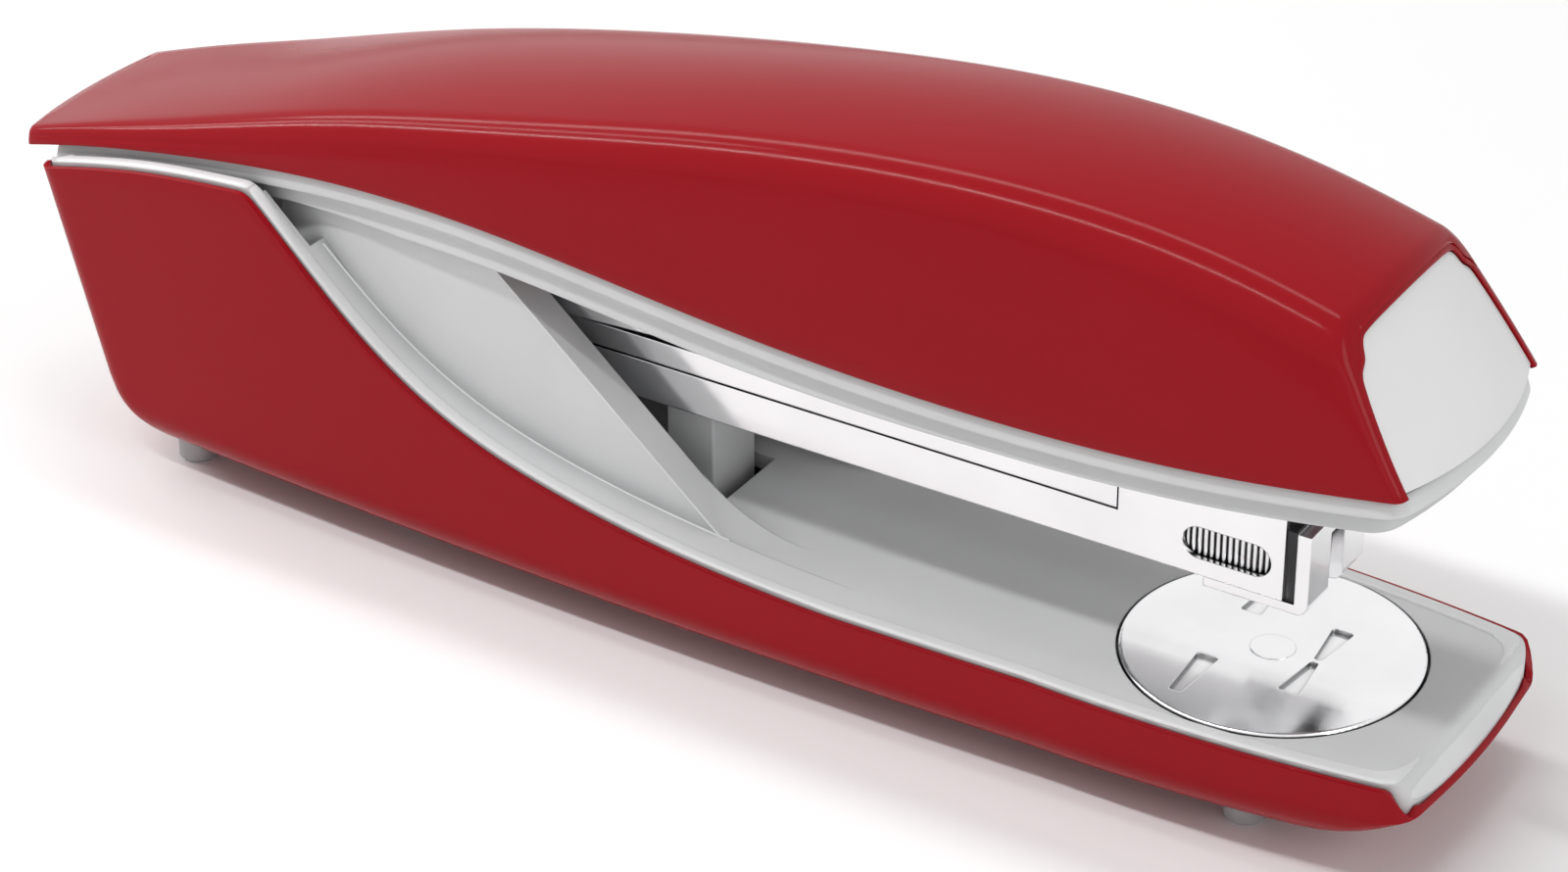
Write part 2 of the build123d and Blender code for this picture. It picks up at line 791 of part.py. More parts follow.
def make_follower():
    strip_bottom = core_top + seat_gap
    strip_top = strip_bottom + strip_sheet
    leg_inner = core_half + leg_gap
    leg_outer = leg_inner + leg_sheet
    leg_bottom = floor_top + leg_bottom_gap
    strip = block(strip_rear, pusher_front, -strip_half, strip_half, strip_bottom, strip_top)
    pieces = [strip]
    ends = [(pusher_front - pusher_sheet, pusher_front), (strip_rear, strip_rear + guide_length)]
    for x0, x1 in ends:
        pieces.append(block(x0, x1, -leg_outer, leg_outer, strip_bottom, strip_top))
        for sy in (1, -1):
            low, high = sorted((sy * leg_inner, sy * leg_outer))
            pieces.append(block(x0, x1, low, high, leg_bottom, strip_top))
    tongue_front = tongue_x + tongue_sheet
    pieces.append(block(tongue_x, tongue_front, -tongue_half, tongue_half, tongue_bottom, strip_top))
    return join(pieces)


def make_follower_spring():
    wire = follower_spring_wire / 2
    start = tongue_x + tongue_sheet + wire + side_gap
    end = anchor_x - anchor_radius - wire - side_gap
    turns = int((end - start) / follower_spring_pitch)
    centre = Vector(start, 0, spring_z)
    return coil("follower_spring", centre, Vector(1, 0, 0), Vector(0, 1, 0), follower_spring_radius,
                wire, (end - start) / turns, turns)


def make_spring_pin():
    return cross_rod(anchor_radius, anchor_x, spring_z, -core_half, core_half)


# Guide post and return spring
post_x = (post_rear + post_front) / 2


def make_magazine_post():
    post = block(post_rear, post_front, -post_half, post_half, post_bottom, channel_floor)
    post = fillet(post.edges().filter_by(Axis.Z), cheek_edge)
    return post - rod(post_bore, post_x, 0, post_bottom, post_bore_top)


def make_return_spring():
    wire = return_spring_wire / 2
    start = shell_floor_top + wire + seat_gap
    end = post_bore_top - wire - seat_gap
    pitch = (end - start) / return_spring_turns
    return coil("return_spring", Vector(post_x, 0, start), Vector(0, 0, 1), Vector(1, 0, 0),
                return_spring_radius, wire, pitch, return_spring_turns)


# Staple cover
def make_staple_cover():
    wall_bottom = channel_wall_top + cover_gap
    rail = block(rail_rear, rail_front, -channel_half, channel_half, wall_bottom, rail_top)
    roof = rail_top - rail_sheet
    rail = rail - block(rail_rear, rail_front, -channel_inner, channel_inner, wall_bottom, roof)
    tab_low = rail_top - rail_tab_height
    tab = block(rail_front - rail_tab, rail_front, -channel_half, channel_half, tab_low, rail_top)
    ear_inner = rail_ear_outer - rail_ear_sheet
    outline = [
        (pivot_x, pivot_z - rail_ear_radius),
        (rail_ear_front, wall_bottom),
        (rail_ear_front, rail_top - rail_sheet / 2),
        (pivot_x, pivot_z + rail_ear_radius),
    ]
    ears = side_pair(ear(outline, rail_ear_radius), ear_inner, rail_ear_sheet)
    return join([rail, tab] + ears)


# Driver arm and blade
def make_driver_arm():
    tip_top = arm_upper[-1][1]
    outline = list(arm_upper) + [(arm_front, tip_top), (arm_front, arm_tip_low)] + list(arm_lower)
    arm_outer = arm_inner + arm_sheet
    flanges = side_pair(ear(outline, ear_radius), arm_inner, arm_sheet)
    upper = list(arm_upper) + [(arm_front, tip_top)]
    lower = [(x, z - arm_sheet) for x, z in reversed(upper)]
    web = across(polygon_xz(upper + lower), arm_outer)
    tab = block(arm_front - arm_tab, arm_front, -arm_tab_half, arm_tab_half, arm_tab_bottom, tip_top)
    arm = join([web, tab] + flanges)
    for y in (blade_rivet_y, -blade_rivet_y):
        arm = arm - long_rod(rivet_shank, y, blade_rivet_z, arm_front - 2 * arm_tab, arm_front)
    for x in bridges:
        arm = arm - rod(handle_screw_shank + pin_fit, x, 0, rail_top, base_height)
    return arm


blade_back = arm_front + blade_gap
blade_face = blade_back + blade_sheet


def make_driver_blade():
    blade = block(blade_back, blade_face, -blade_half, blade_half, blade_bottom, arm_upper[-1][1])
    for y in (blade_rivet_y, -blade_rivet_y):
        blade = blade - long_rod(rivet_shank, y, blade_rivet_z, blade_back, blade_face)
    return blade


def make_blade_rivets():
    pieces = []
    for y in (blade_rivet_y, -blade_rivet_y):
        tab_back = arm_front - arm_tab
        shank = long_rod(rivet_shank - pin_fit, y, blade_rivet_z, tab_back, blade_face)
        back = long_rod(blade_rivet_head, y, blade_rivet_z, tab_back - rivet_head_height, tab_back)
        face = long_rod(blade_rivet_head, y, blade_rivet_z, blade_face, blade_face + rivet_head_height)
        pieces.append(join([shank, back, face]))
    return group(pieces)


# Handle form: cross sections lofted along X
def cover_section(station, place, inset, drop):
    """The cross section of the handle at a station, set in by a wall and lowered at its foot."""
    x, half, low, shoulder, radius, lean, rise = station
    side_top = half - lean
    centre_y = side_top - radius * math.cos(shoulder_low)
    centre_z = shoulder - radius * math.sin(shoulder_mid)
    bend = max(radius - inset, seat_gap)

    def on_shoulder(angle):
        return (centre_y + bend * math.cos(angle), centre_z + bend * math.sin(angle))

    start = on_shoulder(shoulder_low)
    mid = on_shoulder(shoulder_mid)
    end = on_shoulder(shoulder_high)
    crown = (0, end[1] + rise)
    spread = (half - inset - start[0]) / (start[1] - low)
    foot = (half - inset + spread * drop, low - drop)
    belly = ((foot[0] + start[0]) / 2 + side_bow * (shoulder - low), (foot[1] + start[1]) / 2)
    left = [(-y, z) for y, z in (foot, belly, start, mid, end)]
    face = make_face([
        ThreePointArc(foot, belly, start),
        ThreePointArc(start, mid, end),
        ThreePointArc(end, crown, left[4]),
        ThreePointArc(left[4], left[3], left[2]),
        ThreePointArc(left[2], left[1], left[0]),
        Line(left[0], foot),
    ])
    return Plane(origin=(place, 0, 0), x_dir=(0, 1, 0), z_dir=(1, 0, 0)) * face


def cover_form(inset, drop, rear_inset):
    """The handle from its tail to beyond its front, set in by a wall."""
    sections = []
    for station in cover_stations:
        place = station[0] + rear_inset if station[0] == handle_rear else station[0]
        sections.append(cover_section(station, place, inset, drop))
    return loft(sections)


def tail_cutter(offset):
    """What lies behind the round tail of the handle, moved forward by an offset."""
    centre_x = handle_rear + tail_radius
    slab = block(2 * handle_rear, centre_x - tail_radius / 2, -base_front, base_front, 0, base_front)
    return slab - rod(tail_radius - offset, centre_x, 0, -base_front, 2 * base_front)


def front_cutter(offset):
    """What lies ahead of the leaning front face of the handle, moved back by an offset."""
    lean = math.radians(front_tilt)
    ahead = Vector(math.cos(lean), 0, math.sin(lean))
    upward = Vector(-math.sin(lean), 0, math.cos(lean))
    origin = Vector(front_x, 0, front_z) - ahead * front_radius
    frame = Plane(origin=origin, x_dir=ahead, z_dir=upward)
    reach = 3 * front_radius
    slab = Pos(reach / 2, 0, 0) * Box(reach, 2 * reach, 2 * reach)
    return frame * (slab - Cylinder(front_radius - offset, 3 * reach))


def make_handle_cover():
    outer = cover_form(0, 0, 0) - front_cutter(0) - tail_cutter(0)
    hollow = cover_form(shell_wall, hem_width, shell_wall)
    hollow = hollow - front_cutter(shell_wall) - tail_cutter(shell_wall)
    window = cover_form(hem_width, 2 * hem_width, shell_wall)
    behind = block(2 * handle_rear, cover_stations[-2][0], -base_front, base_front, 0, base_front)
    return outer - hollow - (window - behind)


def make_front_cap():
    form = cover_form(hem_width + cap_gap, 2 * hem_width, shell_wall)
    form = form & block(0, 2 * base_front, -base_front, base_front, cap_bottom, 2 * base_front)
    cap = form - front_cutter(cap_recess)
    return cap & front_cutter(cap_recess + cap_sheet)


# Handle liner: two bands under the cover edge, closed at both ends, and two bridges
def upper_reach(x):
    """How far the upper band hangs below the cover."""
    return upper_band


def lower_reach(x):
    """How far the lower band hangs below the cover at x, thinner towards both ends."""
    start = lower_band_line[0]
    return upper_band + (start[1] if x < start[0] else along(lower_band_line, x))


def hollow_reach(x):
    """How far the hollow inside the bands is cut below the cover."""
    return hollow_depth


def band_form(inset, top_drop, reach):
    """A solid that follows the lower edge of the handle cover."""
    sections = []
    for station in cover_stations:
        x, half, low = station[:3]
        outline = Rectangle(2 * (half - inset), reach(x) - top_drop)
        plane = Plane(origin=(x, 0, low - (reach(x) + top_drop) / 2), x_dir=(0, 1, 0), z_dir=(1, 0, 0))
        sections.append(plane * outline)
    return loft(sections)


def band_ahead(inset):
    """What lies ahead of the curved front of the liner."""
    centre_x = band_front - band_front_radius
    slab = block(centre_x, 3 * base_front, -base_front, base_front, 0, base_front)
    return slab - rod(band_front_radius - inset, centre_x, 0, -base_front, 2 * base_front)


def make_handle_liner():
    upper = band_form(upper_band_inset, seat_gap, upper_reach)
    upper = upper - band_ahead(0) - tail_cutter(upper_tail)
    lower = band_form(lower_band_inset, upper_band - band_lap, lower_reach)
    lower = lower - band_ahead(upper_band_inset + lower_band_inset) - tail_cutter(lower_tail)
    hollow = band_form(lower_band_inset + band_wall, -upper_band, hollow_reach)
    hollow_rear = handle_rear + lower_tail + band_end_wall
    hollow = hollow - band_ahead(lower_band_inset + band_end_wall)
    hollow = hollow - block(2 * handle_rear, hollow_rear, -base_front, base_front, 0, base_front)
    liner = upper + lower - hollow
    arm_outer = arm_inner + arm_sheet
    widths = [station[:2] for station in cover_stations]
    edge = [(station[0], station[2]) for station in cover_stations]
    pieces = [liner]
    for x in bridges:
        x0 = x - bridge_length / 2
        x1 = x + bridge_length / 2
        seat = along(arm_upper, x1) + bridge_gap
        half = min(along(widths, x0), along(widths, x1)) - bridge_inset
        low = along(edge, x) - upper_band
        bridge = block(x0, x1, -half, half, min(low, seat), max(low, seat) + bridge_height)
        bridge = bridge - block(x0, x1, -arm_outer - side_gap, arm_outer + side_gap, 0, seat)
        pieces.append(bridge - rod(handle_screw_shank + pin_fit, x, 0, 0, base_front))
    return join(pieces)


def make_handle_screws():
    pieces = []
    for x in bridges:
        seat = along(arm_upper, x - handle_screw_head) - arm_sheet - pin_fit
        tip = along(arm_upper, x) + bridge_height - handle_screw_shank
        pieces.append(screw(x, 0, seat, tip, handle_screw_shank, handle_screw_head, handle_screw_head_height))
    return group(pieces)


def make_handle_spring():
    top_rear = along(arm_upper, leaf_rear) - arm_sheet - pin_fit - leaf_sheet / 2
    top_bend = along(arm_upper, leaf_bend) - arm_sheet - leaf_sheet
    tip_z = rail_top + leaf_gap + leaf_sheet
    line = [(leaf_rear, top_rear - leaf_sheet / 2), (leaf_bend, top_bend), (leaf_tip, tip_z)]
    under = [(x, z - leaf_sheet) for x, z in reversed(line)]
    return across(polygon_xz(line + under), leaf_half)


nodes = {
    "base_shell": make_base_shell,
    "base_liner": make_base_liner,
    "feet": make_feet,
    "base_screws": make_base_screws,
    "hinge_bracket": make_hinge_bracket,
    "hinge_pin": make_hinge_pin,
    "pin_clips": make_pin_clips,
    "bracket_screws": make_bracket_screws,
    "anvil_plate": make_anvil_plate,
    "anvil_button": make_anvil_button,
    "anvil_spring": make_anvil_spring,
    "magazine_channel": make_magazine_channel,
    "nose_plate": make_nose_plate,
    "nose_rivets": make_nose_rivets,
    "staple_core": make_staple_core,
    "core_rivets": make_core_rivets,
    "follower": make_follower,
    "follower_spring": make_follower_spring,
    "spring_pin": make_spring_pin,
    "magazine_post": make_magazine_post,
    "return_spring": make_return_spring,
    "staple_cover": make_staple_cover,
    "driver_arm": make_driver_arm,
    "driver_blade": make_driver_blade,
    "blade_rivets": make_blade_rivets,
    "handle_cover": make_handle_cover,
    "front_cap": make_front_cap,
    "handle_liner": make_handle_liner,
    "handle_screws": make_handle_screws,
    "handle_spring": make_handle_spring,
}

os.makedirs("parts", exist_ok=True)
for name, make in nodes.items():
    export_step(Pos(-middle, 0, 0) * make(), "parts/" + name + ".step")
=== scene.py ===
import bpy
import bmesh
import json
import math
import numpy as np
from mathutils import Matrix, Vector


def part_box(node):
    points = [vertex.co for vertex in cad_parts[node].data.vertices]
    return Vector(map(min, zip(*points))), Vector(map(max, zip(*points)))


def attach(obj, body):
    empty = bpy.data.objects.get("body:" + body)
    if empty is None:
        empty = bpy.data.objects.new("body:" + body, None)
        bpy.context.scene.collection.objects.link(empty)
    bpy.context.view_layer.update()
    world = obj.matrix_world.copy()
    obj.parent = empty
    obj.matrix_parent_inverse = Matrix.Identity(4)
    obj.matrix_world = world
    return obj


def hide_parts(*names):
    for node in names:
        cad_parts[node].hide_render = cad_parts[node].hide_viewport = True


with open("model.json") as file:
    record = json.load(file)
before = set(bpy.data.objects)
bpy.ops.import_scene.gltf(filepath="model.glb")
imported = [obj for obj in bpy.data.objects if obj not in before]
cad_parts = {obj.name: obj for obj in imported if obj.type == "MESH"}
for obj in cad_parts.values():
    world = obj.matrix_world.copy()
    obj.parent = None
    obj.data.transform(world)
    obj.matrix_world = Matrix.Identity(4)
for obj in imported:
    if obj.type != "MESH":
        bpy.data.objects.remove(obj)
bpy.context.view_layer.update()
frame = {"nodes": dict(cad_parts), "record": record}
nodes = frame["nodes"]
print("frame loaded with", len(nodes), "nodes")

mm = 0.001
frameShift = 1.95  # drawing X to frame X, in mm


def at(x, y, z):  # a place of the drawing, in mm, as a point of the frame
    return Vector(((x + frameShift) * mm, y * mm, z * mm))


def smoothLine(points):  # natural cubic spline through (place, value) pairs
    places = np.array([p[0] for p in points], float)
    values = np.array([p[1] for p in points], float)
    count = len(points)
    gaps = np.diff(places)
    left = np.eye(count)
    right = np.zeros(count)
    for i in range(1, count - 1):
        left[i, i - 1:i + 2] = gaps[i - 1], 2 * (gaps[i - 1] + gaps[i]), gaps[i]
        right[i] = 6 * (np.diff(values)[i] / gaps[i] - np.diff(values)[i - 1] / gaps[i - 1])
    bends = np.linalg.solve(left, right)

    def valueAt(place):
        i = int(np.clip(np.searchsorted(places, place) - 1, 0, count - 2))
        width = gaps[i]
        far = (places[i + 1] - place) / width
        near = 1 - far
        curve = (far ** 3 - far) * bends[i] + (near ** 3 - near) * bends[i + 1]
        return float(far * values[i] + near * values[i + 1] + curve * width ** 2 / 6)

    return valueAt


def softMin(a, b, blend):  # the lower of two heights, rounded where they cross
    share = max(blend - abs(a - b), 0) / blend
    return min(a, b) - share * share * blend / 4


def spread(start, end, count):  # evenly spaced numbers, both ends included
    return [start + (end - start) * i / count for i in range(count + 1)]


# materials

noiseLow, noiseHigh = 0.3, 0.7  # most of the noise lies between these
hollowShade, openShade = 0.3, 0.95  # occlusion of a deep recess, where the painted shade is fullest, and of an open face, where there is none
edgeSamples, shadeSamples = 6, 8
grainDepth = 0.0001  # in metres


def newMaterial(name):
    material = bpy.data.materials.new(name)
    material.use_nodes = True
    tree = material.node_tree
    return material, tree, tree.nodes["Principled BSDF"]


def addNode(tree, kind, **settings):
    node = tree.nodes.new(kind)
    for key, value in settings.items():
        if hasattr(node, key):
            setattr(node, key, value)
        else:
            node.inputs[key.replace("_", " ")].default_value = value
    return node


def objectCoords(tree, stretch=(1, 1, 1)):
    coords = tree.nodes.new("ShaderNodeTexCoord")
    mapping = addNode(tree, "ShaderNodeMapping", Scale=stretch)
    tree.links.new(coords.outputs["Object"], mapping.inputs["Vector"])
    return mapping.outputs["Vector"]


def noiseOn(tree, vector, scale, detail=3.0):
    noise = addNode(tree, "ShaderNodeTexNoise", Scale=scale, Detail=detail)
    tree.links.new(vector, noise.inputs["Vector"])
    return noise.outputs["Fac"]


def remap(tree, value, low, high):  # noise to a range of another number
    limits = {"From_Min": noiseLow, "From_Max": noiseHigh, "To_Min": low, "To_Max": high}
    node = addNode(tree, "ShaderNodeMapRange", **limits)
    tree.links.new(value, node.inputs["Value"])
    return node.outputs["Result"]


def tint(tree, value, dark, light):  # noise to a run of colour
    ramp = tree.nodes.new("ShaderNodeValToRGB")
    ramp.color_ramp.elements[0].position = noiseLow
    ramp.color_ramp.elements[1].position = noiseHigh
    ramp.color_ramp.elements[0].color = (*dark, 1)
    ramp.color_ramp.elements[1].color = (*light, 1)
    tree.links.new(value, ramp.inputs["Fac"])
    return ramp.outputs["Color"]


def bumpFrom(tree, value, strength, distance, edge):  # fine grain over edges that shade as rounded
    bump = addNode(tree, "ShaderNodeBump", Strength=strength, Distance=distance)
    tree.links.new(value, bump.inputs["Height"])
    if edge:
        rounded = addNode(tree, "ShaderNodeBevel", Radius=edge, samples=edgeSamples)
        tree.links.new(rounded.outputs["Normal"], bump.inputs["Normal"])
    return bump.outputs["Normal"]


def paintCreviceShade(tree, colour, reach, floor):  # painted shade: by ambient occlusion, the colour goes darker in recesses and seams than on the open faces
    shade = addNode(tree, "ShaderNodeAmbientOcclusion", samples=shadeSamples, Distance=reach)
    limits = {"From_Min": hollowShade, "From_Max": openShade, "To_Min": floor, "To_Max": 1.0}
    level = addNode(tree, "ShaderNodeMapRange", **limits)
    tree.links.new(shade.outputs["AO"], level.inputs["Value"])
    blend = addNode(tree, "ShaderNodeVectorMath", operation="MULTIPLY")
    tree.links.new(colour, blend.inputs[0])
    tree.links.new(level.outputs["Result"], blend.inputs[1])
    return blend.outputs["Vector"]


def finish(name, look):  # one procedural finish from its dictionary
    material, tree, shader = newMaterial(name)
    even = objectCoords(tree)
    drawn = objectCoords(tree, look.get("stretch", (1, 1, 1)))
    cloud = noiseOn(tree, even, look["cloudScale"])
    grain = noiseOn(tree, drawn, look["grainScale"])
    colour = tint(tree, cloud, look["dark"], look["light"])
    # where the finish asks for it, shade is painted into the colour of its recesses and seams
    if "paintedShade" in look:
        colour = paintCreviceShade(tree, colour, *look["paintedShade"])
    tree.links.new(colour, shader.inputs["Base Color"])
    tree.links.new(remap(tree, grain, *look["roughness"]), shader.inputs["Roughness"])
    normal = bumpFrom(tree, grain, look["bump"], grainDepth, look.get("edge", 0.0))
    tree.links.new(normal, shader.inputs["Normal"])
    shader.inputs["Metallic"].default_value = look.get("metallic", 0.0)
    shader.inputs["Specular IOR Level"].default_value = look.get("specular", 0.5)
    return material


# greyMoulding, brightSteel and ribWire paint shade into their colour in recesses and seams: reach of the
# occlusion, then the darkest share of the colour
looks = {
    "redEnamel": {
        "dark": (0.298, 0.0052, 0.0105), "light": (0.312, 0.0058, 0.0116),
        "cloudScale": 28.0, "grainScale": 260.0, "roughness": (0.12, 0.15),
        "bump": 0.003, "specular": 0.10,
    },
    "greyMoulding": {
        "dark": (0.64, 0.645, 0.65), "light": (0.68, 0.685, 0.69),
        "cloudScale": 60.0, "grainScale": 2600.0, "roughness": (0.42, 0.50),
        "bump": 0.08, "edge": 0.00035, "paintedShade": (0.0035, 0.62),
    },
    "beadWhite": {
        "dark": (0.72, 0.725, 0.73), "light": (0.76, 0.765, 0.77),
        "cloudScale": 60.0, "grainScale": 2600.0, "roughness": (0.30, 0.36),
        "bump": 0.04,
    },
    "capWhite": {
        "dark": (0.76, 0.76, 0.76), "light": (0.79, 0.79, 0.79),
        "cloudScale": 60.0, "grainScale": 2600.0, "roughness": (0.36, 0.44),
        "bump": 0.05,
    },
    "footRubber": {
        "dark": (0.36, 0.36, 0.36), "light": (0.42, 0.42, 0.42),
        "cloudScale": 120.0, "grainScale": 1800.0, "roughness": (0.55, 0.7),
        "bump": 0.2,
    },
    "brightSteel": {
        "dark": (0.84, 0.84, 0.85), "light": (0.90, 0.90, 0.91),
        "cloudScale": 90.0, "grainScale": 500.0, "stretch": (0.06, 1, 1), "roughness": (0.12, 0.19),
        "bump": 0.03, "metallic": 1.0, "edge": 0.00025, "paintedShade": (0.0012, 0.12),
    },
    "pressedSteel": {
        "dark": (0.50, 0.50, 0.51), "light": (0.60, 0.60, 0.61),
        "cloudScale": 140.0, "grainScale": 700.0, "roughness": (0.22, 0.34),
        "bump": 0.08, "metallic": 1.0, "edge": 0.00025,
    },
    "darkSteel": {
        "dark": (0.030, 0.030, 0.032), "light": (0.045, 0.045, 0.048),
        "cloudScale": 140.0, "grainScale": 700.0, "roughness": (0.35, 0.5),
        "bump": 0.08, "metallic": 0.6,
    },
    "springWire": {
        "dark": (0.62, 0.62, 0.63), "light": (0.72, 0.72, 0.73),
        "cloudScale": 200.0, "grainScale": 900.0, "roughness": (0.16, 0.26),
        "bump": 0.05, "metallic": 1.0,
    },
    "ribWire": {
        "dark": (0.80, 0.80, 0.81), "light": (0.88, 0.88, 0.89),
        "cloudScale": 200.0, "grainScale": 900.0, "roughness": (0.16, 0.24),
        "bump": 0.03, "metallic": 1.0, "paintedShade": (0.0006, 0.05),
    },
}
finishes = {name: finish(name, look) for name, look in looks.items()}

slotFinish = {
    "red_enamel": "redEnamel", "grey_moulding": "greyMoulding", "white_cap": "capWhite",
    "foot_grey": "footRubber", "bright_steel": "brightSteel", "pressed_steel": "pressedSteel",
    "dark_steel": "darkSteel", "spring_steel": "springWire",
}


def dressFrame():  # every solid kept from the frame takes the finish of its slot
    for entry in frame["record"]["subparts"]:
        materials = nodes[entry["node"]].data.materials
        materials.clear()
        materials.append(finishes[slotFinish[entry["material_slot"]]])


dressFrame()
print("finishes made:", ", ".join(finishes))


# mesh tools

mergeDistance, sliverDistance = 2e-6, 1e-6  # in metres


def newPiece(name, points, faces, finishName):
    mesh = bpy.data.meshes.new(name)
    mesh.from_pydata(points, [], faces)
    mesh.materials.append(finishes[finishName])
    piece = bpy.data.objects.new(name, mesh)
    bpy.context.scene.collection.objects.link(piece)
    build = bmesh.new()
    build.from_mesh(mesh)
    bmesh.ops.remove_doubles(build, verts=build.verts, dist=mergeDistance)
    bmesh.ops.dissolve_degenerate(build, dist=sliverDistance, edges=build.edges)
    bmesh.ops.recalc_face_normals(build, faces=build.faces)
    build.to_mesh(mesh)
    build.free()
    return piece


def gridFaces(rows, columns, closed=False):  # quads of a grid stored row by row
    faces = []
    for r in range(rows - 1):
        here, above = r * columns, (r + 1) * columns
        for c in range(columns if closed else columns - 1):
            d = (c + 1) % columns
            faces.append((here + c, here + d, above + d, above + c))
    return faces


def boxPoints(low, high):  # corners and faces of a box
    points = [(x, y, z) for x in (low[0], high[0]) for y in (low[1], high[1]) for z in (low[2], high[2])]
    faces = [(0, 1, 3, 2), (4, 6, 7, 5), (0, 4, 5, 1), (2, 3, 7, 6), (0, 2, 6, 4), (1, 5, 7, 3)]
    return points, faces


def addSolidify(piece, thickness):  # the wall grows inwards
    wall = piece.modifiers.new("wall", "SOLIDIFY")
    wall.thickness = thickness
    wall.offset = -1.0
    wall.use_even_offset = True


def addBevel(piece, width, segments=2, angle=50):
    edge = piece.modifiers.new("edge", "BEVEL")
    edge.width = width
    edge.segments = segments
    edge.limit_method = "ANGLE"
    edge.angle_limit = math.radians(angle)
    edge.use_clamp_overlap = True


def settle(piece, smoothAngle=35):  # modifiers into the mesh, then smooth shading
    bpy.context.view_layer.update()
    graph = bpy.context.evaluated_depsgraph_get()
    made = bpy.data.meshes.new_from_object(piece.evaluated_get(graph))
    piece.modifiers.clear()
    piece.data = made
    made.shade_smooth()
    made.set_sharp_from_angle(angle=math.radians(smoothAngle))


def facesOutward(piece, outside):  # turn an open sheet so that most faces look at a point outside
    mesh = piece.data
    votes = sum(1 if f.normal.dot(outside - f.center) > 0 else -1 for f in mesh.polygons)
    if votes < 0:
        mesh.flip_normals()


# handle cover

handle = {
    # X, half width, lower edge, shoulder height, shoulder radius, side lean, crown rise, in mm
    "stations": [
        (-103.2, 13.6, 39.8, 41.8, 1.3, 0.2, 0.1), (-92.0, 14.9, 43.2, 45.4, 2.0, 0.3, 0.3),
        (-76.0, 16.0, 46.8, 50.2, 3.2, 0.4, 0.6), (-52.0, 17.3, 50.5, 57.5, 4.6, 0.7, 1.0),
        (-25.0, 18.7, 51.3, 63.9, 5.4, 1.2, 1.2), (5.0, 19.0, 48.6, 69.7, 6.0, 1.9, 1.2),
        (40.0, 18.9, 46.9, 73.4, 6.0, 2.1, 1.1), (70.0, 18.4, 48.1, 71.2, 6.0, 2.1, 1.2),
        (104.0, 18.3, 53.55, 61.4, 6.0, 2.1, 1.2),
    ],
    "sideBow": 0.03, "shoulderLow": 10, "shoulderMid": 55, "shoulderHigh": 82,  # angles in degrees
    "frontTilt": 35.8, "frontRadius": 55.4, "frontX": 97.8, "frontZ": 51.7, "tailRadius": 50.0,
    "wall": 0.8, "hem": 1.6, "cornerHem": 0.9, "frontRound": 0.7, "rearRound": 0.8, "edge": 0.18,
    "leastBend": 0.15, "frontGuess": 5.0, "frontStep": 0.6, "frontRounds": 30, "tailRounds": 12,
    "sideShare": 0.66, "crownShare": 0.33, "cornerShare": 0.5, "cornerSpread": 0.11,  # along a column
    "rearTurns": (80, 60, 40, 20, 0), "frontTurns": (22, 45, 68, 90),
    "hemRows": [(-0.35, 0.02), (-0.1, 0.1), (0.0, 0.35), (0.0, 1.4)],  # inset past the hem, depth
    "sideColumns": 9, "shoulderColumns": 12, "crownColumns": 12, "rows": 96,
    "outside": (0, 0, 400),
}
handleRear = handle["stations"][0][0]
halfAt, lowAt, shoulderAt, radiusAt, leanAt, riseAt = [
    smoothLine([(s[0], s[k]) for s in handle["stations"]]) for k in (1, 2, 3, 4, 5, 6)
]


def coverColumns():  # one value per column: +1 near foot, 0 crown, -1 far foot
    side = spread(1.0, handle["sideShare"], handle["sideColumns"])
    shoulder = spread(handle["sideShare"], handle["crownShare"], handle["shoulderColumns"])[1:]
    crown = spread(handle["crownShare"], 0.0, handle["crownColumns"])[1:]
    near = side + shoulder + crown
    return near + [-v for v in reversed(near[:-1])]


def coverPoint(x, v, inset):  # (y, z) of a cross section, set in by a step
    half, low, shoulder, radius = halfAt(x), lowAt(x), shoulderAt(x), radiusAt(x)
    lowAngle, midAngle, highAngle = [
        math.radians(handle[k]) for k in ("shoulderLow", "shoulderMid", "shoulderHigh")
    ]
    centreY = half - leanAt(x) - radius * math.cos(lowAngle)
    centreZ = shoulder - radius * math.sin(midAngle)
    bend = max(radius - inset, handle["leastBend"])
    share = abs(v)
    sideShare, crownShare = handle["sideShare"], handle["crownShare"]
    if share > sideShare:
        t = (1 - share) / (1 - sideShare)
        startY = centreY + bend * math.cos(lowAngle)
        startZ = centreZ + bend * math.sin(lowAngle)
        bow = handle["sideBow"] * (shoulder - low) * 4 * t * (1 - t)
        y = half - inset + (startY - half + inset) * t + bow
        z = low + (startZ - low) * t
    elif share > crownShare:
        angle = lowAngle + (highAngle - lowAngle) * (sideShare - share) / (sideShare - crownShare)
        y = centreY + bend * math.cos(angle)
        z = centreZ + bend * math.sin(angle)
    else:
        endY = centreY + bend * math.cos(highAngle)
        endZ = centreZ + bend * math.sin(highAngle)
        y = endY * share / crownShare
        z = endZ + riseAt(x) * (1 - (share / crownShare) ** 2)
    return math.copysign(y, v), z


def hemInset(v, step):  # the opening of the hem is rounder than the cover at its top corners
    away = (abs(v) - handle["cornerShare"]) / handle["cornerSpread"]
    return step + handle["cornerHem"] * math.exp(-away ** 2)


def frontPlace(y, z, offset):  # X of the leaning round front at a height, moved back by an offset
    lean = math.radians(handle["frontTilt"])
    radius = handle["frontRadius"]
    axisX = handle["frontX"] - radius * math.cos(lean)
    axisZ = handle["frontZ"] - radius * math.sin(lean)
    reach = math.sqrt((radius - offset) ** 2 - y * y)
    return axisX + (reach - (z - axisZ) * math.sin(lean)) / math.cos(lean)


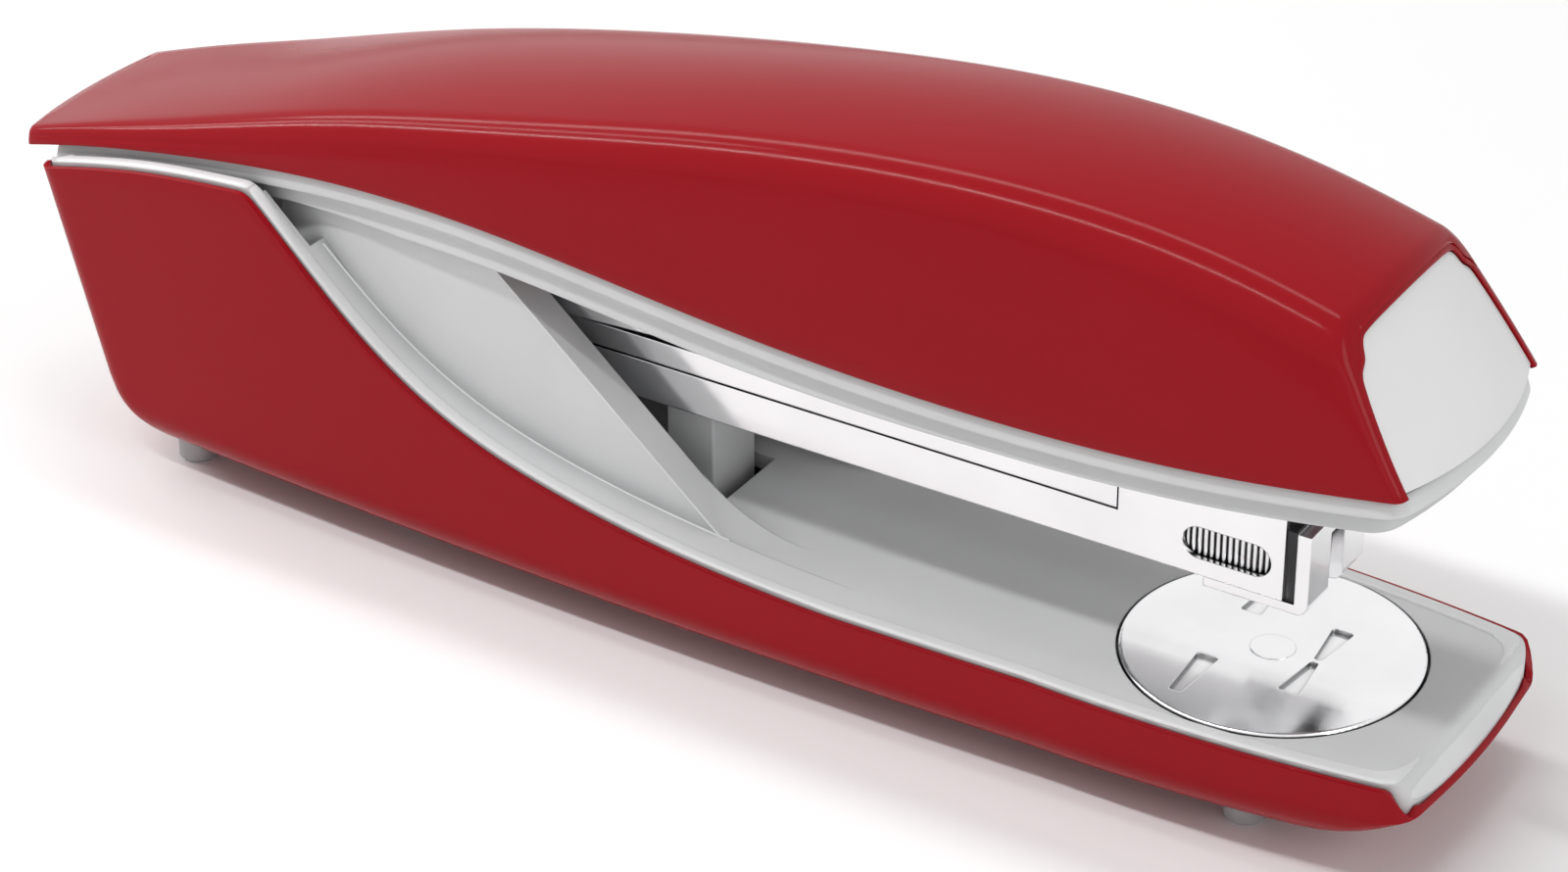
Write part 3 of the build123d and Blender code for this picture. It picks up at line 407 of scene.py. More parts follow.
def frontPoint(v, inset, offset):  # where a column meets the front
    x = handle["frontX"] - handle["frontGuess"]
    for _ in range(handle["frontRounds"]):
        y, z = coverPoint(x, v, inset)
        x += handle["frontStep"] * (frontPlace(y, z, offset) - x)
    return x, y, z


def tailPoint(v, inset, offset):  # where a column meets the round tail, moved forward by an offset
    radius = handle["tailRadius"]
    x = handleRear
    for _ in range(handle["tailRounds"]):
        y = coverPoint(x, v, inset)[0]
        x = handleRear + radius - math.sqrt((radius - offset) ** 2 - y * y)
    return (x, *coverPoint(x, v, inset))


def makeHandleCover():
    columns = coverColumns()
    rows = []
    step = handle["rearRound"]
    for turn in handle["rearTurns"]:  # rounded edge of the tail
        inset = step * (1 - math.cos(math.radians(turn)))
        back = step - step * math.sin(math.radians(turn))
        rows.append([tailPoint(v, inset, back) for v in columns])
    starts = [p[0] for p in rows[-1]]
    fronts = [frontPoint(v, 0, handle["frontRound"])[0] for v in columns]
    for share in spread(0, 1, handle["rows"])[1:]:
        places = [x0 + (x1 - x0) * share for x0, x1 in zip(starts, fronts)]
        rows.append([(x, *coverPoint(x, v, 0)) for x, v in zip(places, columns)])
    step = handle["frontRound"]
    for turn in handle["frontTurns"]:  # rounded edge of the front
        inset = step * (1 - math.cos(math.radians(turn)))
        offset = step * (1 - math.sin(math.radians(turn)))
        rows.append([frontPoint(v, inset, offset) for v in columns])
    for step, offset in handle["hemRows"]:
        rows.append([frontPoint(v, hemInset(v, handle["hem"] + step), offset) for v in columns])
    points = [at(*p) for row in rows for p in row]
    count = len(columns)
    faces = gridFaces(len(rows), count)
    for c in range(count // 2):  # close the tail between the two halves
        faces.append((c, c + 1, count - 2 - c, count - 1 - c))
    piece = newPiece("handleCover", points, faces, "redEnamel")
    facesOutward(piece, at(*handle["outside"]))
    addSolidify(piece, handle["wall"] * mm)
    addBevel(piece, handle["edge"] * mm)
    settle(piece)
    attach(piece, "handle")
    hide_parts("handle_cover")


makeHandleCover()
print("handle cover made")


# front cap

cap = {
    "gap": 0.18, "recess": 0.4, "sheet": 1.8, "edge": 0.5, "edgeSteps": 3, "bottom": 52.2, "across": 28,
    "outside": (400, 0, 100),
}


def makeFrontCap():
    columns = [v for v in coverColumns() if v >= 0]
    inset = handle["hem"] + cap["gap"]
    points = []
    for v in columns:
        y, z = frontPoint(v, hemInset(v, inset), cap["recess"])[1:]
        if v == columns[0]:
            z = cap["bottom"]
        for share in spread(-1, 1, cap["across"]):
            points.append(at(frontPlace(y * share, z, cap["recess"]), y * share, z))
    piece = newPiece("frontCap", points, gridFaces(len(columns), cap["across"] + 1), "capWhite")
    facesOutward(piece, at(*cap["outside"]))
    addSolidify(piece, cap["sheet"] * mm)
    addBevel(piece, cap["edge"] * mm, cap["edgeSteps"])
    settle(piece)
    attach(piece, "handle")
    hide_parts("front_cap")


makeFrontCap()
print("front cap made")


# base shell

base = {
    "bottom": 3.6, "top": 52.0, "bottomRound": 6.0, "rearRound": 9.0, "rearLean": 0.29,
    "front": 99.3, "rear": -87.2, "frontSweep": 20.3, "frontSweepHeight": 7.0,
    "widthFront": 18.7, "widthShoulder": 20.9, "widthMiddle": 21.2, "widthRear": 18.3,
    "shoulderX": 78.0, "middleX": 50.0, "waistX": -25.0,
    "frontBulge": 1.6, "rearBulge": 2.0, "frontCorner": 3.5, "rearCorner": 3.0,
    "wall": 0.8, "edge": 0.25,
    "notchHalf": 15.6, "notchBottom": 21.5, "notchFront": -87.0, "notchRear": -140.0, "notchTop": 80.0,
    "sweepShares": (0, 0.006, 0.025, 0.06, 0.11, 0.18, 0.27, 0.38, 0.5, 0.63, 0.77, 0.9, 1.0),
    "levels": 24, "halvings": 40, "arcSteps": 40, "shoulderSteps": 56, "longSteps": 600,
    "frontLook": 8, "sideLook": 6, "longLook": 20, "rearLook": 8,  # arc points that a corner aims at
    "frontColumns": 10, "cornerColumns": 7, "shoulderColumns": 14, "sideColumns": 90, "rearColumns": 8,
    "upperRows": 14, "outside": (0, -600, -100),
}
rim = {
    "low": 14.8, "rear": 39.9, "middle": 44.6, "peak": 47.1, "peakX": -61.0, "rearX": -97.7,
    "sweep": [(-55.9, 42.4), (-44.4, 32.2), (-31.3, 24.2), (-16.7, 19.5), (0.0, 16.6)],
    "levelX": 24.0, "levelEnd": 60.0, "peakReach": 4.0, "peakRound": 1.6,
    "frontX": 95.4, "lipDrop": 4.4, "lipReach": 3.2,
}
rimPeak = (rim["peakX"], rim["peak"])
rimMiddle = ((rim["rearX"] + rim["peakX"]) / 2, rim["middle"])
rimLevel = [(rim["levelX"], rim["low"]), (rim["levelEnd"], rim["low"])]
rimRear = smoothLine([(rim["rearX"], rim["rear"]), rimMiddle, rimPeak])
rimSweep = smoothLine([rimPeak] + rim["sweep"] + rimLevel)


def rimHeight(x):
    if x > rim["levelX"]:
        share = min(max((x - rim["frontX"]) / rim["lipReach"], 0), 1)
        return rim["low"] - rim["lipDrop"] * share * share * (3 - 2 * share)
    rearPart = rimRear(x) if x < rim["peakX"] + rim["peakReach"] else base["top"]
    sweepPart = rimSweep(x) if x > rim["peakX"] - rim["peakReach"] else base["top"]
    return softMin(rearPart, sweepPart, rim["peakRound"])


def arcThrough(a, b, c, count):  # points on the circle through three points, in a plane
    (ax, ay), (bx, by), (cx, cy) = a, b, c
    d = 2 * (ax * (by - cy) + bx * (cy - ay) + cx * (ay - by))
    aa, bb, cc = ax * ax + ay * ay, bx * bx + by * by, cx * cx + cy * cy
    ux = (aa * (by - cy) + bb * (cy - ay) + cc * (ay - by)) / d
    uy = (aa * (cx - bx) + bb * (ax - cx) + cc * (bx - ax)) / d
    radius = math.hypot(ax - ux, ay - uy)
    start = math.atan2(ay - uy, ax - ux)
    end = math.atan2(cy - uy, cx - ux)
    turn = (end - start + math.pi) % (2 * math.pi) - math.pi
    return [
        (ux + radius * math.cos(start + turn * s), uy + radius * math.sin(start + turn * s))
        for s in spread(0, 1, count)
    ]


def roundInset(radius, z):  # how far a rounded lower edge stands in at a height
    rise = min(z - base["bottom"], radius)
    return radius - math.sqrt(radius ** 2 - (radius - rise) ** 2)


def bezier(a, corner, b, count):
    return [
        tuple((1 - t) ** 2 * a[k] + 2 * t * (1 - t) * corner[k] + t * t * b[k] for k in (0, 1))
        for t in spread(0, 1, count)
    ]


def towards(a, b, distance):
    length = math.hypot(b[0] - a[0], b[1] - a[1])
    return (a[0] + (b[0] - a[0]) * distance / length, a[1] + (b[1] - a[1]) * distance / length)


def basePlan(z, inset):  # half plan from the front middle, along the +Y side, to the rear middle
    sweep = min((z - base["bottom"]) / base["frontSweepHeight"], 1)
    front = base["front"] - base["frontSweep"] * (1 - math.sqrt(max(sweep, 0))) - inset
    rear = base["rear"] - base["rearLean"] * (z - base["bottom"]) + roundInset(base["rearRound"], z) + inset
    step = roundInset(base["bottomRound"], z) + inset
    frontCornerX = front - base["frontBulge"]
    rearCornerX = rear + base["rearBulge"]
    shoulderX = frontCornerX - (base["front"] - base["frontBulge"] - base["shoulderX"])
    blendX = min(base["middleX"], shoulderX - base["frontCorner"])
    corner = (frontCornerX, base["widthFront"] - step)
    shoulder = (shoulderX, base["widthShoulder"] - step)
    blend = (blendX, base["widthMiddle"] - step)
    waist = (base["waistX"], base["widthMiddle"] - step)
    rearCorner = (rearCornerX, base["widthRear"] - step)
    cut = base["frontCorner"]
    rearCut = base["rearCorner"]
    steps = base["arcSteps"]
    frontArc = arcThrough((frontCornerX, -corner[1]), (front, 0), corner, 2 * steps)[steps:]
    frontEnd = towards(corner, frontArc[-base["frontLook"]], cut)
    sideArc = arcThrough(corner, shoulder, blend, base["shoulderSteps"])
    sideStart = towards(corner, sideArc[base["sideLook"]], cut)
    longArc = arcThrough(blend, waist, rearCorner, base["longSteps"])
    sideEnd = towards(rearCorner, longArc[-base["longLook"]], rearCut)
    rearArc = arcThrough(rearCorner, (rear, 0), (rearCornerX, -rearCorner[1]), 2 * steps)[:steps + 1]
    rearStart = towards(rearCorner, rearArc[base["rearLook"]], rearCut)
    frontRun = [(front, 0)] + [p for p in frontArc[1:] if p[1] < frontEnd[1]] + [frontEnd]
    plan = resample(frontRun, base["frontColumns"])
    plan += bezier(frontEnd, corner, sideStart, base["cornerColumns"])[1:]
    plan += resample([sideStart] + [p for p in sideArc if p[0] < sideStart[0]], base["shoulderColumns"])[1:]
    plan += resampleAt([p for p in longArc if p[0] > sideEnd[0]] + [sideEnd], sideShares)[1:]
    plan += bezier(sideEnd, rearCorner, rearStart, base["cornerColumns"])[1:]
    plan += resample([rearStart] + [p for p in rearArc if p[1] < rearStart[1]], base["rearColumns"])[1:]
    return plan


def resampleAt(points, shares):  # points at shares of the length of a run
    run = [0.0]
    for p, q in zip(points, points[1:]):
        run.append(run[-1] + math.hypot(q[0] - p[0], q[1] - p[1]))
    wanted = [s * run[-1] for s in shares]
    xs = np.interp(wanted, run, [p[0] for p in points])
    ys = np.interp(wanted, run, [p[1] for p in points])
    return list(zip(xs.tolist(), ys.tolist()))


def resample(points, count):
    return resampleAt(points, spread(0, 1, count))


peakShare = 0.783  # share of the long side at which the rim peaks
peakStep, peakCount = 0.0022, 9  # closer columns on each side of it
peakShares = [peakShare + d * peakStep for d in range(-peakCount, peakCount + 1)]
sideShares = sorted(spread(0, 1, base["sideColumns"]) + peakShares)


def baseColumns(inset, rise):  # for each column, heights from the bottom to the rim and their plan points
    heights = [base["bottom"] + base["frontSweepHeight"] * share for share in base["sweepShares"]]
    levels = heights + spread(heights[-1], base["top"], base["levels"])[1:]
    plans = [basePlan(z, inset) for z in levels]
    columns = []
    for c in range(len(plans[0])):
        xs = [p[c][0] for p in plans]
        ys = [p[c][1] for p in plans]
        under, top = base["bottom"], base["top"]
        for _ in range(base["halvings"]):  # where this column meets the rim
            middle = (under + top) / 2
            if rimHeight(float(np.interp(middle, levels, xs))) + rise > middle:
                under = middle
            else:
                top = middle
        low = [min(z, top) for z in heights]
        high = spread(heights[-1], max(top, heights[-1]), base["upperRows"])[1:]
        column = low + [min(z, top) for z in high]
        places = [np.interp(column, levels, xs).tolist(), np.interp(column, levels, ys).tolist(), column]
        columns.append(list(zip(*places)))
    return columns


def mirrored(columns):  # +Y half, then the -Y half back to the front, as one closed ring
    other = [[(x, -y, z) for x, y, z in column] for column in reversed(columns[1:-1])]
    return columns + other


def boxCutter(name, low, high):
    points, faces = boxPoints(low, high)
    mesh = bpy.data.meshes.new(name)
    mesh.from_pydata([at(*p) for p in points], [], faces)
    tool = bpy.data.objects.new(name, mesh)
    bpy.context.scene.collection.objects.link(tool)
    return tool


def cutAway(piece, tool):
    cut = piece.modifiers.new("cut", "BOOLEAN")
    cut.operation = "DIFFERENCE"
    cut.object = tool
    cut.solver = "EXACT"


def makeBaseShell():
    columns = baseColumns(0, 0)
    ring = mirrored(columns)
    rows = len(ring[0])
    count = len(ring)
    points = [at(*column[r]) for r in range(rows) for column in ring]
    faces = gridFaces(rows, count, True)
    for c in range(len(columns) - 1):  # the flat underside, across from side to side
        faces.append((c, c + 1, (count - c - 1) % count, (count - c) % count))
    piece = newPiece("baseShell", points, faces, "redEnamel")
    facesOutward(piece, at(*base["outside"]))
    half = base["notchHalf"]
    lowCorner = (base["notchRear"], -half, base["notchBottom"])
    tool = boxCutter("notchTool", lowCorner, (base["notchFront"], half, base["notchTop"]))
    addSolidify(piece, base["wall"] * mm)
    cutAway(piece, tool)
    addBevel(piece, base["edge"] * mm)
    settle(piece)
    bpy.data.objects.remove(tool)
    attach(piece, "base")
    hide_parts("base_shell")


makeBaseShell()
print("base shell made")


# pale bead along the rim, and fine pale lines on the liner's edges, rounded and paler than the moulding to
# paint their highlight

bead = {
    # inset from the outside and rise above the red rim, in mm, round the section
    "section": [
        (0.95, 0.10), (0.98, 0.42), (1.16, 0.64), (1.5, 0.74),
        (2.1, 0.74), (2.6, 0.64), (2.85, 0.46), (2.9, 0.10),
    ],
    "notchHalf": 16.9, "notchFront": -87.0,
    "lineRadius": 0.16, "ledgeInner": 14.8, "ledgeRise": 0.42, "ledgeFrom": -53.0, "ledgeTo": 6.4,
    "slopeTop": (-29.0, 45.7), "slopeFoot": (6.4, 15.3),
    "sides": 8, "ledgeSteps": 60, "slopeSteps": 8, "beadSmooth": 50, "lineSmooth": 60,
}


def sheetLoop(name, rings, finishName):  # closed section swept along an open run
    count = len(rings[0])
    rows = len(rings)
    points = [at(*p) for ring in rings for p in ring]
    faces = gridFaces(rows, count)
    last = (rows - 1) * count
    faces += [(last + c, last + c + 1, c + 1, c) for c in range(count - 1)]
    faces.append(tuple(r * count for r in range(rows)))
    faces.append(tuple(r * count + count - 1 for r in reversed(range(rows))))
    return newPiece(name, points, faces, finishName)


def makeRimBead():
    rings = []
    kept = None
    for inset, rise in bead["section"]:
        tops = [column[-1] for column in baseColumns(inset, rise)]
        if kept is None:
            kept = [i for i, p in enumerate(tops) if p[0] > bead["notchFront"] or p[1] > bead["notchHalf"]]
        half = [tops[i] for i in kept]
        rings.append([(x, -y, z) for x, y, z in reversed(half[1:])] + half)
    piece = sheetLoop("rimBead", rings, "beadWhite")
    settle(piece, bead["beadSmooth"])
    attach(piece, "base")


def thinLine(points, radius):  # rings of a fine round line through points
    rings = []
    for turn in range(bead["sides"]):
        angle = 2 * math.pi * turn / bead["sides"]
        ring = []
        for i, p in enumerate(points):
            a = points[max(i - 1, 0)]
            b = points[min(i + 1, len(points) - 1)]
            run = Vector(b) - Vector(a)
            side = Vector((0, 1, 0))
            up = run.cross(side).normalized()
            step = side * (radius * math.cos(angle)) + up * (radius * math.sin(angle))
            ring.append(tuple(Vector(p) + step))
        rings.append(ring)
    return rings


# thin round lines along the ledge and the cheek's sloping edge: rounded so that they catch the lamps, and
# paler than the grey moulding as a painted highlight
def makeHighlightLines():
    ledge = [
        (x, bead["ledgeInner"], rimHeight(x) + bead["ledgeRise"])
        for x in spread(bead["ledgeFrom"], bead["ledgeTo"], bead["ledgeSteps"])
    ]
    (x0, z0), (x1, z1) = bead["slopeTop"], bead["slopeFoot"]
    shares = spread(0, 1, bead["slopeSteps"])
    slope = [(x0 + (x1 - x0) * t, bead["ledgeInner"], z0 + (z1 - z0) * t) for t in shares]
    number = 0
    for run in (ledge, slope):
        for side in (1, -1):
            number += 1
            rings = thinLine([(x, side * y, z) for x, y, z in run], bead["lineRadius"])
            piece = sheetLoop("edgeHighlightLine" + str(number), rings, "beadWhite")
            settle(piece, bead["lineSmooth"])
            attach(piece, "base")


makeRimBead()
makeHighlightLines()
print("rim bead and liner lines made")


# handle liner: two flared bands in one ring, and the bridges that carry the arm

bands = {
    # inset, share of the upper band and share of the lower band, round the section
    "section": [
        (0.95, 0.06, 0), (0.80, 0.16, 0), (0.68, 0.40, 0),
        (0.56, 0.72, 0), (0.50, 0.88, 0), (0.54, 0.96, 0),
        (0.72, 1.0, 0), (1.75, 1.0, 0.01), (1.86, 1.0, 0.08), (1.78, 1.0, 0.40), (1.62, 1.0, 0.75),
        (1.50, 1.0, 0.93), (1.56, 1.0, 0.985), (1.75, 1.0, 1.0), (2.5, 1.0, 1.0), (2.7, 1.0, 0.93),
        (2.7, 0.12, 0), (2.5, 0.06, 0),
    ],
    "upper": 2.6,
    "lower": [(-110.0, 2.1), (-57.0, 2.1), (-40.0, 3.4), (5.0, 3.4), (42.0, 2.6), (110.0, 2.3)],
    "upperInset": 0.5, "front": 97.0, "frontRadius": 50.0, "tail": 4.6, "tailStep": 1.6,
    "corner": 2.4, "tailCorner": 0.8, "sideCount": 90, "frontCount": 24, "cornerCount": 6,
    # bridges: rear and front, lower and upper height, half width
    "bridges": [(-76.0, -68.0, 41.15, 47.9, 13.6), (31.0, 39.0, 47.75, 51.0, 16.4)],
    "armHalf": 9.2, "bridgeSheet": 3.2, "frontStep": 2.0, "rounds": 20, "smooth": 40,
}
lowerDepth = [np.array([p[k] for p in bands["lower"]]) for k in (0, 1)]


def bandRing(inset, upperShare, lowerShare):  # one line of the section, taken all the way round
    deeper = inset - bands["upperInset"]
    reach = bands["frontRadius"] - bands["frontStep"] * deeper
    centre = bands["front"] - bands["frontRadius"]
    rear = handleRear + bands["tail"] + bands["tailStep"] * deeper
    radius = handle["tailRadius"]

    def tailX(y):
        return rear + radius - math.sqrt(radius ** 2 - y * y)

    def arcX(y):
        return centre + math.sqrt(reach ** 2 - y * y)

    xFront, xRear = bands["front"], rear
    for _ in range(bands["rounds"]):
        yFront = halfAt(xFront) - inset
        xFront = arcX(yFront)
        yRear = halfAt(xRear) - inset
        xRear = tailX(yRear)
    cut, tailCut = bands["corner"], bands["tailCorner"]
    side = [(x, halfAt(x) - inset) for x in spread(xRear + tailCut, xFront - cut, bands["sideCount"])]
    front = [(arcX(y), y) for y in spread(yFront - cut, 0, bands["frontCount"])]
    frontTurn = bezier(side[-1], (xFront, yFront), front[0], bands["cornerCount"])
    tail = [(tailX(y), y) for y in spread(0, yRear - tailCut, bands["frontCount"] // 2)]
    tailTurn = bezier(tail[-1], (xRear, yRear), side[0], bands["cornerCount"])
    half = tail + tailTurn[1:] + side[1:] + frontTurn[1:] + front[1:]
    ring = half + [(x, -y) for x, y in reversed(half[1:-1])]
    heights = []
    for x, y in ring:
        drop = upperShare * bands["upper"] + lowerShare * float(np.interp(x, *lowerDepth))
        heights.append((x, y, lowAt(x) - drop))
    return heights


def makeHandleLiner():
    rings = [bandRing(*line) for line in bands["section"]]
    rings.append(rings[0])
    count = len(rings[0])
    points = [p for ring in rings for p in ring]
    faces = gridFaces(len(rings), count, True)
    for x0, x1, low, high, half in bands["bridges"]:
        reach = bands["armHalf"]
        blocks = [((x0, -half, low), (x1, -reach, high)), ((x0, reach, low), (x1, half, high))]
        blocks.append(((x0, -half, high - bands["bridgeSheet"]), (x1, half, high)))
        for block in blocks:
            start = len(points)
            more, moreFaces = boxPoints(*block)
            points += more
            faces += [tuple(start + i for i in face) for face in moreFaces]
    piece = newPiece("handleLiner", [at(*p) for p in points], faces, "greyMoulding")
    settle(piece, bands["smooth"])
    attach(piece, "handle")
    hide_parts("handle_liner")


makeHandleLiner()
print("handle liner made")


# feet, base screws and the ribs behind the nose window, repeated by geometry nodes

ribs = {"first": 63.3, "pitch": 0.78, "count": 15, "side": 6.12}
buttonMesh = {"headSides": 48, "stemSides": 32, "smooth": 30}
buttons = {  # sizes in mm; cross is the recess's length, width and depth
    "feet": {
        "node": "feet", "body": "base", "slot": "foot_grey", "finish": "footRubber",
        "places": [(75.2, 11.8), (75.2, -11.8), (-78.3, 11.5), (-78.3, -11.5)], "low": 0.0, "cross": None,
        "Radius": 2.6, "Height": 3.6, "Chamfer": 0.4, "Stem Radius": 1.5, "Stem Height": 0.75,
    },
    "baseScrews": {
        "node": "base_screws", "body": "base", "slot": "pressed_steel", "finish": "pressedSteel",
        "places": [(42.0, 11.0), (42.0, -11.0), (-42.0, 11.0), (-42.0, -11.0)], "low": 2.4,
        "cross": (3.0, 0.6, 0.7),
        "Radius": 2.6, "Height": 1.2, "Chamfer": 0.35, "Stem Radius": 1.4, "Stem Height": 8.4,
    },
    "windowRibs": {
        "node": None, "body": "magazine", "slot": "spring_steel", "finish": "ribWire",
        "places": [
            (ribs["first"] + ribs["pitch"] * i, side * ribs["side"])
            for side in (1, -1) for i in range(ribs["count"])
        ],
        "low": 28.0, "cross": None,
        "Radius": 0.30, "Height": 5.5, "Chamfer": 0.1, "Stem Radius": 0.2, "Stem Height": 0.1,
    },
}


def buttonTree(name, look):  # a round head that stands on a chamfer, with its stem, on every point
    tree = bpy.data.node_groups.new(name, "GeometryNodeTree")
    tree.interface.new_socket("Geometry", in_out="INPUT", socket_type="NodeSocketGeometry")
    for label in ("Radius", "Height", "Chamfer", "Stem Radius", "Stem Height"):
        tree.interface.new_socket(label, in_out="INPUT", socket_type="NodeSocketFloat")
    tree.interface.new_socket("Geometry", in_out="OUTPUT", socket_type="NodeSocketGeometry")
    link = tree.links.new
    start = tree.nodes.new("NodeGroupInput")
    end = tree.nodes.new("NodeGroupOutput")

    def reckon(kind, a, b):  # arithmetic on sockets or plain numbers
        node = addNode(tree, "ShaderNodeMath", operation=kind)
        for socket, value in zip(node.inputs, (a, b)):
            if isinstance(value, float):
                socket.default_value = value
            else:
                link(value, socket)
        return node.outputs[0]

    def lift(geometry, height):  # raised along Z
        place = tree.nodes.new("ShaderNodeCombineXYZ")
        link(height, place.inputs["Z"])
        move = tree.nodes.new("GeometryNodeTransform")
        link(geometry, move.inputs["Geometry"])
        link(place.outputs[0], move.inputs["Translation"])
        return move.outputs[0]

    radius, height, chamfer = start.outputs["Radius"], start.outputs["Height"], start.outputs["Chamfer"]
    cone = addNode(tree, "GeometryNodeMeshCone", Vertices=buttonMesh["headSides"])
    link(reckon("SUBTRACT", radius, chamfer), cone.inputs["Radius Bottom"])
    link(radius, cone.inputs["Radius Top"])
    link(chamfer, cone.inputs["Depth"])
    head = addNode(tree, "GeometryNodeMeshCylinder", Vertices=buttonMesh["headSides"])
    link(radius, head.inputs["Radius"])
    bodyHeight = reckon("SUBTRACT", height, chamfer)
    link(bodyHeight, head.inputs["Depth"])
    stem = addNode(tree, "GeometryNodeMeshCylinder", Vertices=buttonMesh["stemSides"])
    link(start.outputs["Stem Radius"], stem.inputs["Radius"])
    link(start.outputs["Stem Height"], stem.inputs["Depth"])
    joined = tree.nodes.new("GeometryNodeJoinGeometry")
    link(cone.outputs["Mesh"], joined.inputs[0])
    headPlace = reckon("ADD", chamfer, reckon("MULTIPLY", bodyHeight, 0.5))
    link(lift(head.outputs["Mesh"], headPlace), joined.inputs[0])
    stemPlace = reckon("ADD", height, reckon("MULTIPLY", start.outputs["Stem Height"], 0.5))
    link(lift(stem.outputs["Mesh"], stemPlace), joined.inputs[0])
    shape = joined.outputs[0]
    if look["cross"]:
        length, width, depth = [size * mm for size in look["cross"]]
        cross = tree.nodes.new("GeometryNodeJoinGeometry")
        for size in ((length, width, 2 * depth), (width, length, 2 * depth)):
            bar = addNode(tree, "GeometryNodeMeshCube", Size=size)
            link(bar.outputs["Mesh"], cross.inputs[0])
        cutOut = addNode(tree, "GeometryNodeMeshBoolean", operation="DIFFERENCE")
        link(shape, cutOut.inputs["Mesh 1"])
        link(cross.outputs[0], cutOut.inputs["Mesh 2"])
        shape = cutOut.outputs["Mesh"]
    repeat = tree.nodes.new("GeometryNodeInstanceOnPoints")
    link(start.outputs["Geometry"], repeat.inputs["Points"])
    link(shape, repeat.inputs["Instance"])
    real = tree.nodes.new("GeometryNodeRealizeInstances")
    link(repeat.outputs[0], real.inputs[0])
    paint = tree.nodes.new("GeometryNodeSetMaterial")
    paint.inputs["Material"].default_value = finishes[look["finish"]]
    link(real.outputs[0], paint.inputs["Geometry"])
    link(paint.outputs[0], end.inputs[0])
    return tree


def makeButtons(name, look):
    mesh = bpy.data.meshes.new(name)
    mesh.from_pydata([at(x, y, look["low"]) for x, y in look["places"]], [], [])
    piece = bpy.data.objects.new(name, mesh)
    bpy.context.scene.collection.objects.link(piece)
    tree = buttonTree(name + "Tree", look)
    modifier = piece.modifiers.new("repeat", "NODES")
    modifier.node_group = tree
    for item in tree.interface.items_tree:
        if item.in_out == "INPUT" and item.socket_type == "NodeSocketFloat":
            modifier[item.identifier] = look[item.name] * mm
    settle(piece, buttonMesh["smooth"])
    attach(piece, look["body"])
    if look["node"]:
        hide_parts(look["node"])


for name, look in buttons.items():
    makeButtons(name, look)
print("feet, base screws and window ribs made")


# dark plates in the gaps beside the nose plate that paint the shade inside them, and the bright head of the
# anvil's rivet

# dark boxes where the gaps beside the nose plate lie in shade: painted shade
noseShadePlate = {
    "rear": 76.05, "front": 77.45, "inner": 6.72, "outer": 7.02, "low": 27.2, "high": 36.6, "edge": 0.1,
}
rivetHead = {"radius": 2.72, "proud": 0.08, "sink": 0.05, "edge": 0.08, "count": 64, "smooth": 12}


def makeNoseShadePlates():
    points, faces = [], []
    for side in (1, -1):
        near, far = sorted((side * noseShadePlate["inner"], side * noseShadePlate["outer"]))
        lowCorner = (noseShadePlate["rear"], near, noseShadePlate["low"])
        more, moreFaces = boxPoints(lowCorner, (noseShadePlate["front"], far, noseShadePlate["high"]))
        faces += [tuple(len(points) + i for i in face) for face in moreFaces]
        points += more
    piece = newPiece("noseShadePlates", [at(*p) for p in points], faces, "darkSteel")
    addBevel(piece, noseShadePlate["edge"] * mm)
    settle(piece)
    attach(piece, "magazine")


def makeRivetHead():
    low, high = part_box("anvil_plate")
    centre = (low + high) / 2
    count, radius = rivetHead["count"], rivetHead["radius"]
    top = high.z + rivetHead["proud"] * mm
    foot = high.z - rivetHead["sink"] * mm
    rings = [(radius, foot), (radius, high.z), (radius - rivetHead["edge"], top)]
    points = []
    for reach, z in rings:
        for turn in range(count):
            angle = 2 * math.pi * turn / count
            x = centre.x + reach * mm * math.cos(angle)
            points.append((x, centre.y + reach * mm * math.sin(angle), z))
    faces = gridFaces(len(rings), count, True)
    faces.append(tuple(range(count)))
    faces.append(tuple(range((len(rings) - 1) * count, len(rings) * count)))
    piece = newPiece("rivetHead", points, faces, "brightSteel")
    settle(piece, rivetHead["smooth"])
    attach(piece, "anvil_lifter")


makeNoseShadePlates()
makeRivetHead()
print("nose seams and rivet head made")


# camera, at the photograph's viewing angle

cameraLook = {
    "azimuth": 31.817, "elevation": 30.828, "focalPixels": 4600.0, "imageSize": (1600, 890),
    "discPixel": (1298.82, 660.48), "discDepth": 0.52516, "sensor": 36.0, "clipStart": 0.01,
}


def makeCamera():
    turn = math.radians(cameraLook["azimuth"])
    rise = math.radians(cameraLook["elevation"])
    right = Vector((math.cos(turn), math.sin(turn), 0))
    back = Vector((math.sin(turn) * math.cos(rise), -math.cos(turn) * math.cos(rise), math.sin(rise)))
    up = back.cross(right)
    low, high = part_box("anvil_plate")
    disc = Vector(((low.x + high.x) / 2, (low.y + high.y) / 2, high.z))
    depth = cameraLook["discDepth"]
    width, height = cameraLook["imageSize"]
    sideways = (cameraLook["discPixel"][0] - width / 2) / cameraLook["focalPixels"] * depth
    downward = (cameraLook["discPixel"][1] - height / 2) / cameraLook["focalPixels"] * depth
    data = bpy.data.cameras.new("photoView")
    data.sensor_width = cameraLook["sensor"]
    data.lens = cameraLook["focalPixels"] * cameraLook["sensor"] / width
    data.clip_start = cameraLook["clipStart"]
    camera = bpy.data.objects.new("photoView", data)
    bpy.context.scene.collection.objects.link(camera)
    camera.location = disc - right * sideways + up * downward + back * depth
    camera.rotation_euler = back.to_track_quat("Z", "Y").to_euler()
    bpy.context.scene.camera = camera


makeCamera()


# floor, light and background

